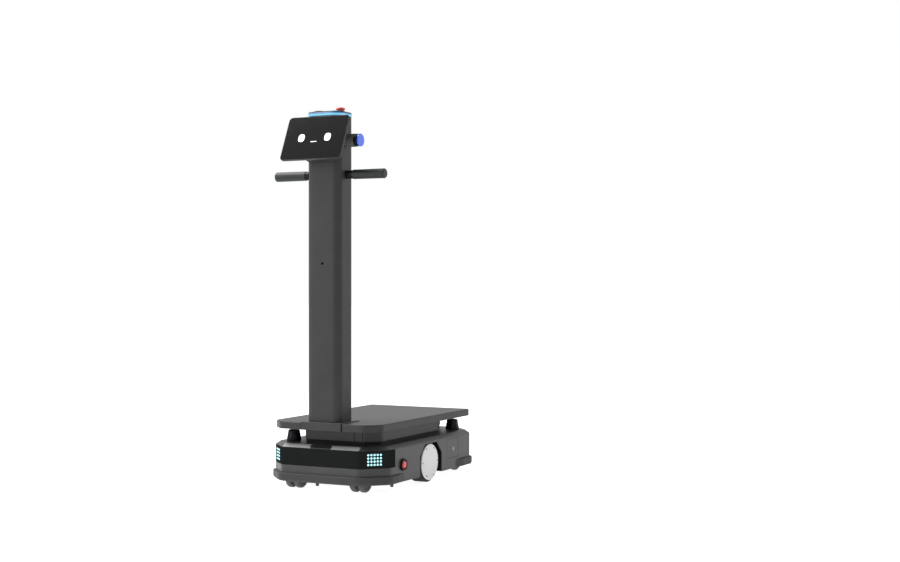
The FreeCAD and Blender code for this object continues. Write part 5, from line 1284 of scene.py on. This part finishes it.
class ROBOT_OT_stage(bpy.types.Operator):
    """Build the floor, the light and the camera"""
    bl_idname = "robot.stage"
    bl_label = "Stage"

    def execute(self, context):
        setup = context.scene.robot_stage
        self.floor(setup)
        self.world(context.scene, setup)
        self.lamps()
        camera = bpy.data.objects.new("camera", bpy.data.cameras.new("camera"))
        camera.data.lens = setup.lens
        camera.data.sensor_width = 36
        camera.data.clip_end = 100
        camera.location = (setup.camera_x, -setup.camera_y + BASE_Y, setup.camera_z)
        camera.rotation_euler = (setup.camera_rise, 0, setup.camera_turn)
        context.scene.collection.objects.link(camera)
        context.scene.camera = camera
        context.scene.view_settings.view_transform = "Standard"
        return {"FINISHED"}

    def floor(self, setup):
        """A wide plane at the floor's height; the camera sees it white where no shadow falls."""
        reach, lines, under = 30000, 13, 0.5
        side = np.linspace(-reach, reach, lines)
        x, y = np.meshgrid(side, side, indexing="ij")
        plane = new_object("floor", [Patch(np.stack([x, y, 0*x - under], axis=-1), False, False, False)])
        material = bpy.data.materials.new("floor_white")
        material.use_nodes = True
        tree = material.node_tree
        shader = tree.nodes["Principled BSDF"]
        shader.inputs["Base Color"].default_value = (0.82, 0.82, 0.82, 1)
        shader.inputs["Roughness"].default_value = 0.9
        shader.inputs["Specular IOR Level"].default_value = 0.0
        shader.inputs["Emission Color"].default_value = (1, 1, 1, 1)
        coordinates = tree.nodes.new("ShaderNodeTexCoord")
        distance = tree.nodes.new("ShaderNodeVectorMath")
        distance.operation = "LENGTH"
        tree.links.new(coordinates.outputs["Object"], distance.inputs[0])
        path = tree.nodes.new("ShaderNodeLightPath")
        seen = tree.nodes.new("ShaderNodeMix")
        seen.inputs["A"].default_value = setup.floor_light
        tree.links.new(path.outputs["Is Camera Ray"], seen.inputs["Factor"])
        near, far = 0.6, 2.5
        tree.links.new(ranged(tree, distance.outputs["Value"], 0.9, 1.0, near, far), seen.inputs["B"])
        tree.links.new(seen.outputs["Result"], shader.inputs["Emission Strength"])
        plane.data.materials.append(material)

    def world(self, scene, setup):
        """White for the camera and in reflections, a softer grey as light."""
        world = bpy.data.worlds.new("studio")
        scene.world = world
        world.use_nodes = True
        tree = world.node_tree
        background = tree.nodes["Background"]
        background.inputs["Color"].default_value = (1, 1, 1, 1)
        path = tree.nodes.new("ShaderNodeLightPath")
        seen = path.outputs["Is Camera Ray"]
        for other in ("Is Glossy Ray", "Is Transmission Ray"):
            either = tree.nodes.new("ShaderNodeMath")
            either.operation = "MAXIMUM"
            tree.links.new(seen, either.inputs[0])
            tree.links.new(path.outputs[other], either.inputs[1])
            seen = either.outputs["Value"]
        tree.links.new(ranged(tree, seen, setup.ambient, 1.0, 0, 1), background.inputs["Strength"])

    def lamps(self):
        """Soft boxes: place, aim, size in metres and power."""
        boxes = {
            "left_box": ((-2.4, -3.8, 1.5), (0, -0.3, 0.7), 2.6, 48),
            "right_box": ((3.6, 2.6, 1.6), (0, 0, 0.6), 2.6, 31),
            "top_box": ((-1.6, -0.6, 3.2), (0, -0.3, 0.2), 1.5, 120),
        }
        for name, (place, aim, size, power) in boxes.items():
            light = bpy.data.lights.new(name, "AREA")
            light.size = size
            light.energy = power
            lamp = bpy.data.objects.new(name, light)
            lamp.location = place
            lamp.rotation_euler = (Vector(aim) - Vector(place)).to_track_quat("-Z", "Y").to_euler()
            bpy.context.scene.collection.objects.link(lamp)


PIECES = (
    ROBOT_OT_finishes, ROBOT_OT_shell, ROBOT_OT_visor, ROBOT_OT_bumpers, ROBOT_OT_scanners, ROBOT_OT_pedestal,
    ROBOT_OT_deck, ROBOT_OT_column, ROBOT_OT_crown, ROBOT_OT_display, ROBOT_OT_handles, ROBOT_OT_call_button,
    ROBOT_OT_side_stops, ROBOT_OT_hatch, ROBOT_OT_drive_wheels, ROBOT_OT_castors, ROBOT_OT_springs,
    ROBOT_OT_frame_nodes, ROBOT_OT_stage,
)


class ROBOT_PT_panel(bpy.types.Panel):
    """Lists the robot's pieces"""
    bl_idname = "ROBOT_PT_panel"
    bl_label = "Delivery robot"
    bl_space_type = "VIEW_3D"
    bl_region_type = "UI"
    bl_category = "Robot"

    def draw(self, context):
        for operator in PIECES:
            self.layout.operator(operator.bl_idname)
        for group in ("robot_sizes", "robot_colours", "robot_stage"):
            settings = getattr(context.scene, group)
            box = self.layout.box()
            for name in type(settings).__annotations__:
                box.prop(settings, name)


CLASSES = (RobotSizes, RobotColours, RobotStage) + PIECES + (ROBOT_PT_panel,)


def register():
    for cls in CLASSES:
        bpy.utils.register_class(cls)
    bpy.types.Scene.robot_sizes = PointerProperty(type=RobotSizes)
    bpy.types.Scene.robot_colours = PointerProperty(type=RobotColours)
    bpy.types.Scene.robot_stage = PointerProperty(type=RobotStage)


def unregister():
    del bpy.types.Scene.robot_stage
    del bpy.types.Scene.robot_colours
    del bpy.types.Scene.robot_sizes
    for cls in reversed(CLASSES):
        bpy.utils.unregister_class(cls)


def main():
    """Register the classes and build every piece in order."""
    register()
    for operator in PIECES:
        group, name = operator.bl_idname.split(".")
        getattr(getattr(bpy.ops, group), name)()


if __name__ == "__main__":
    main()
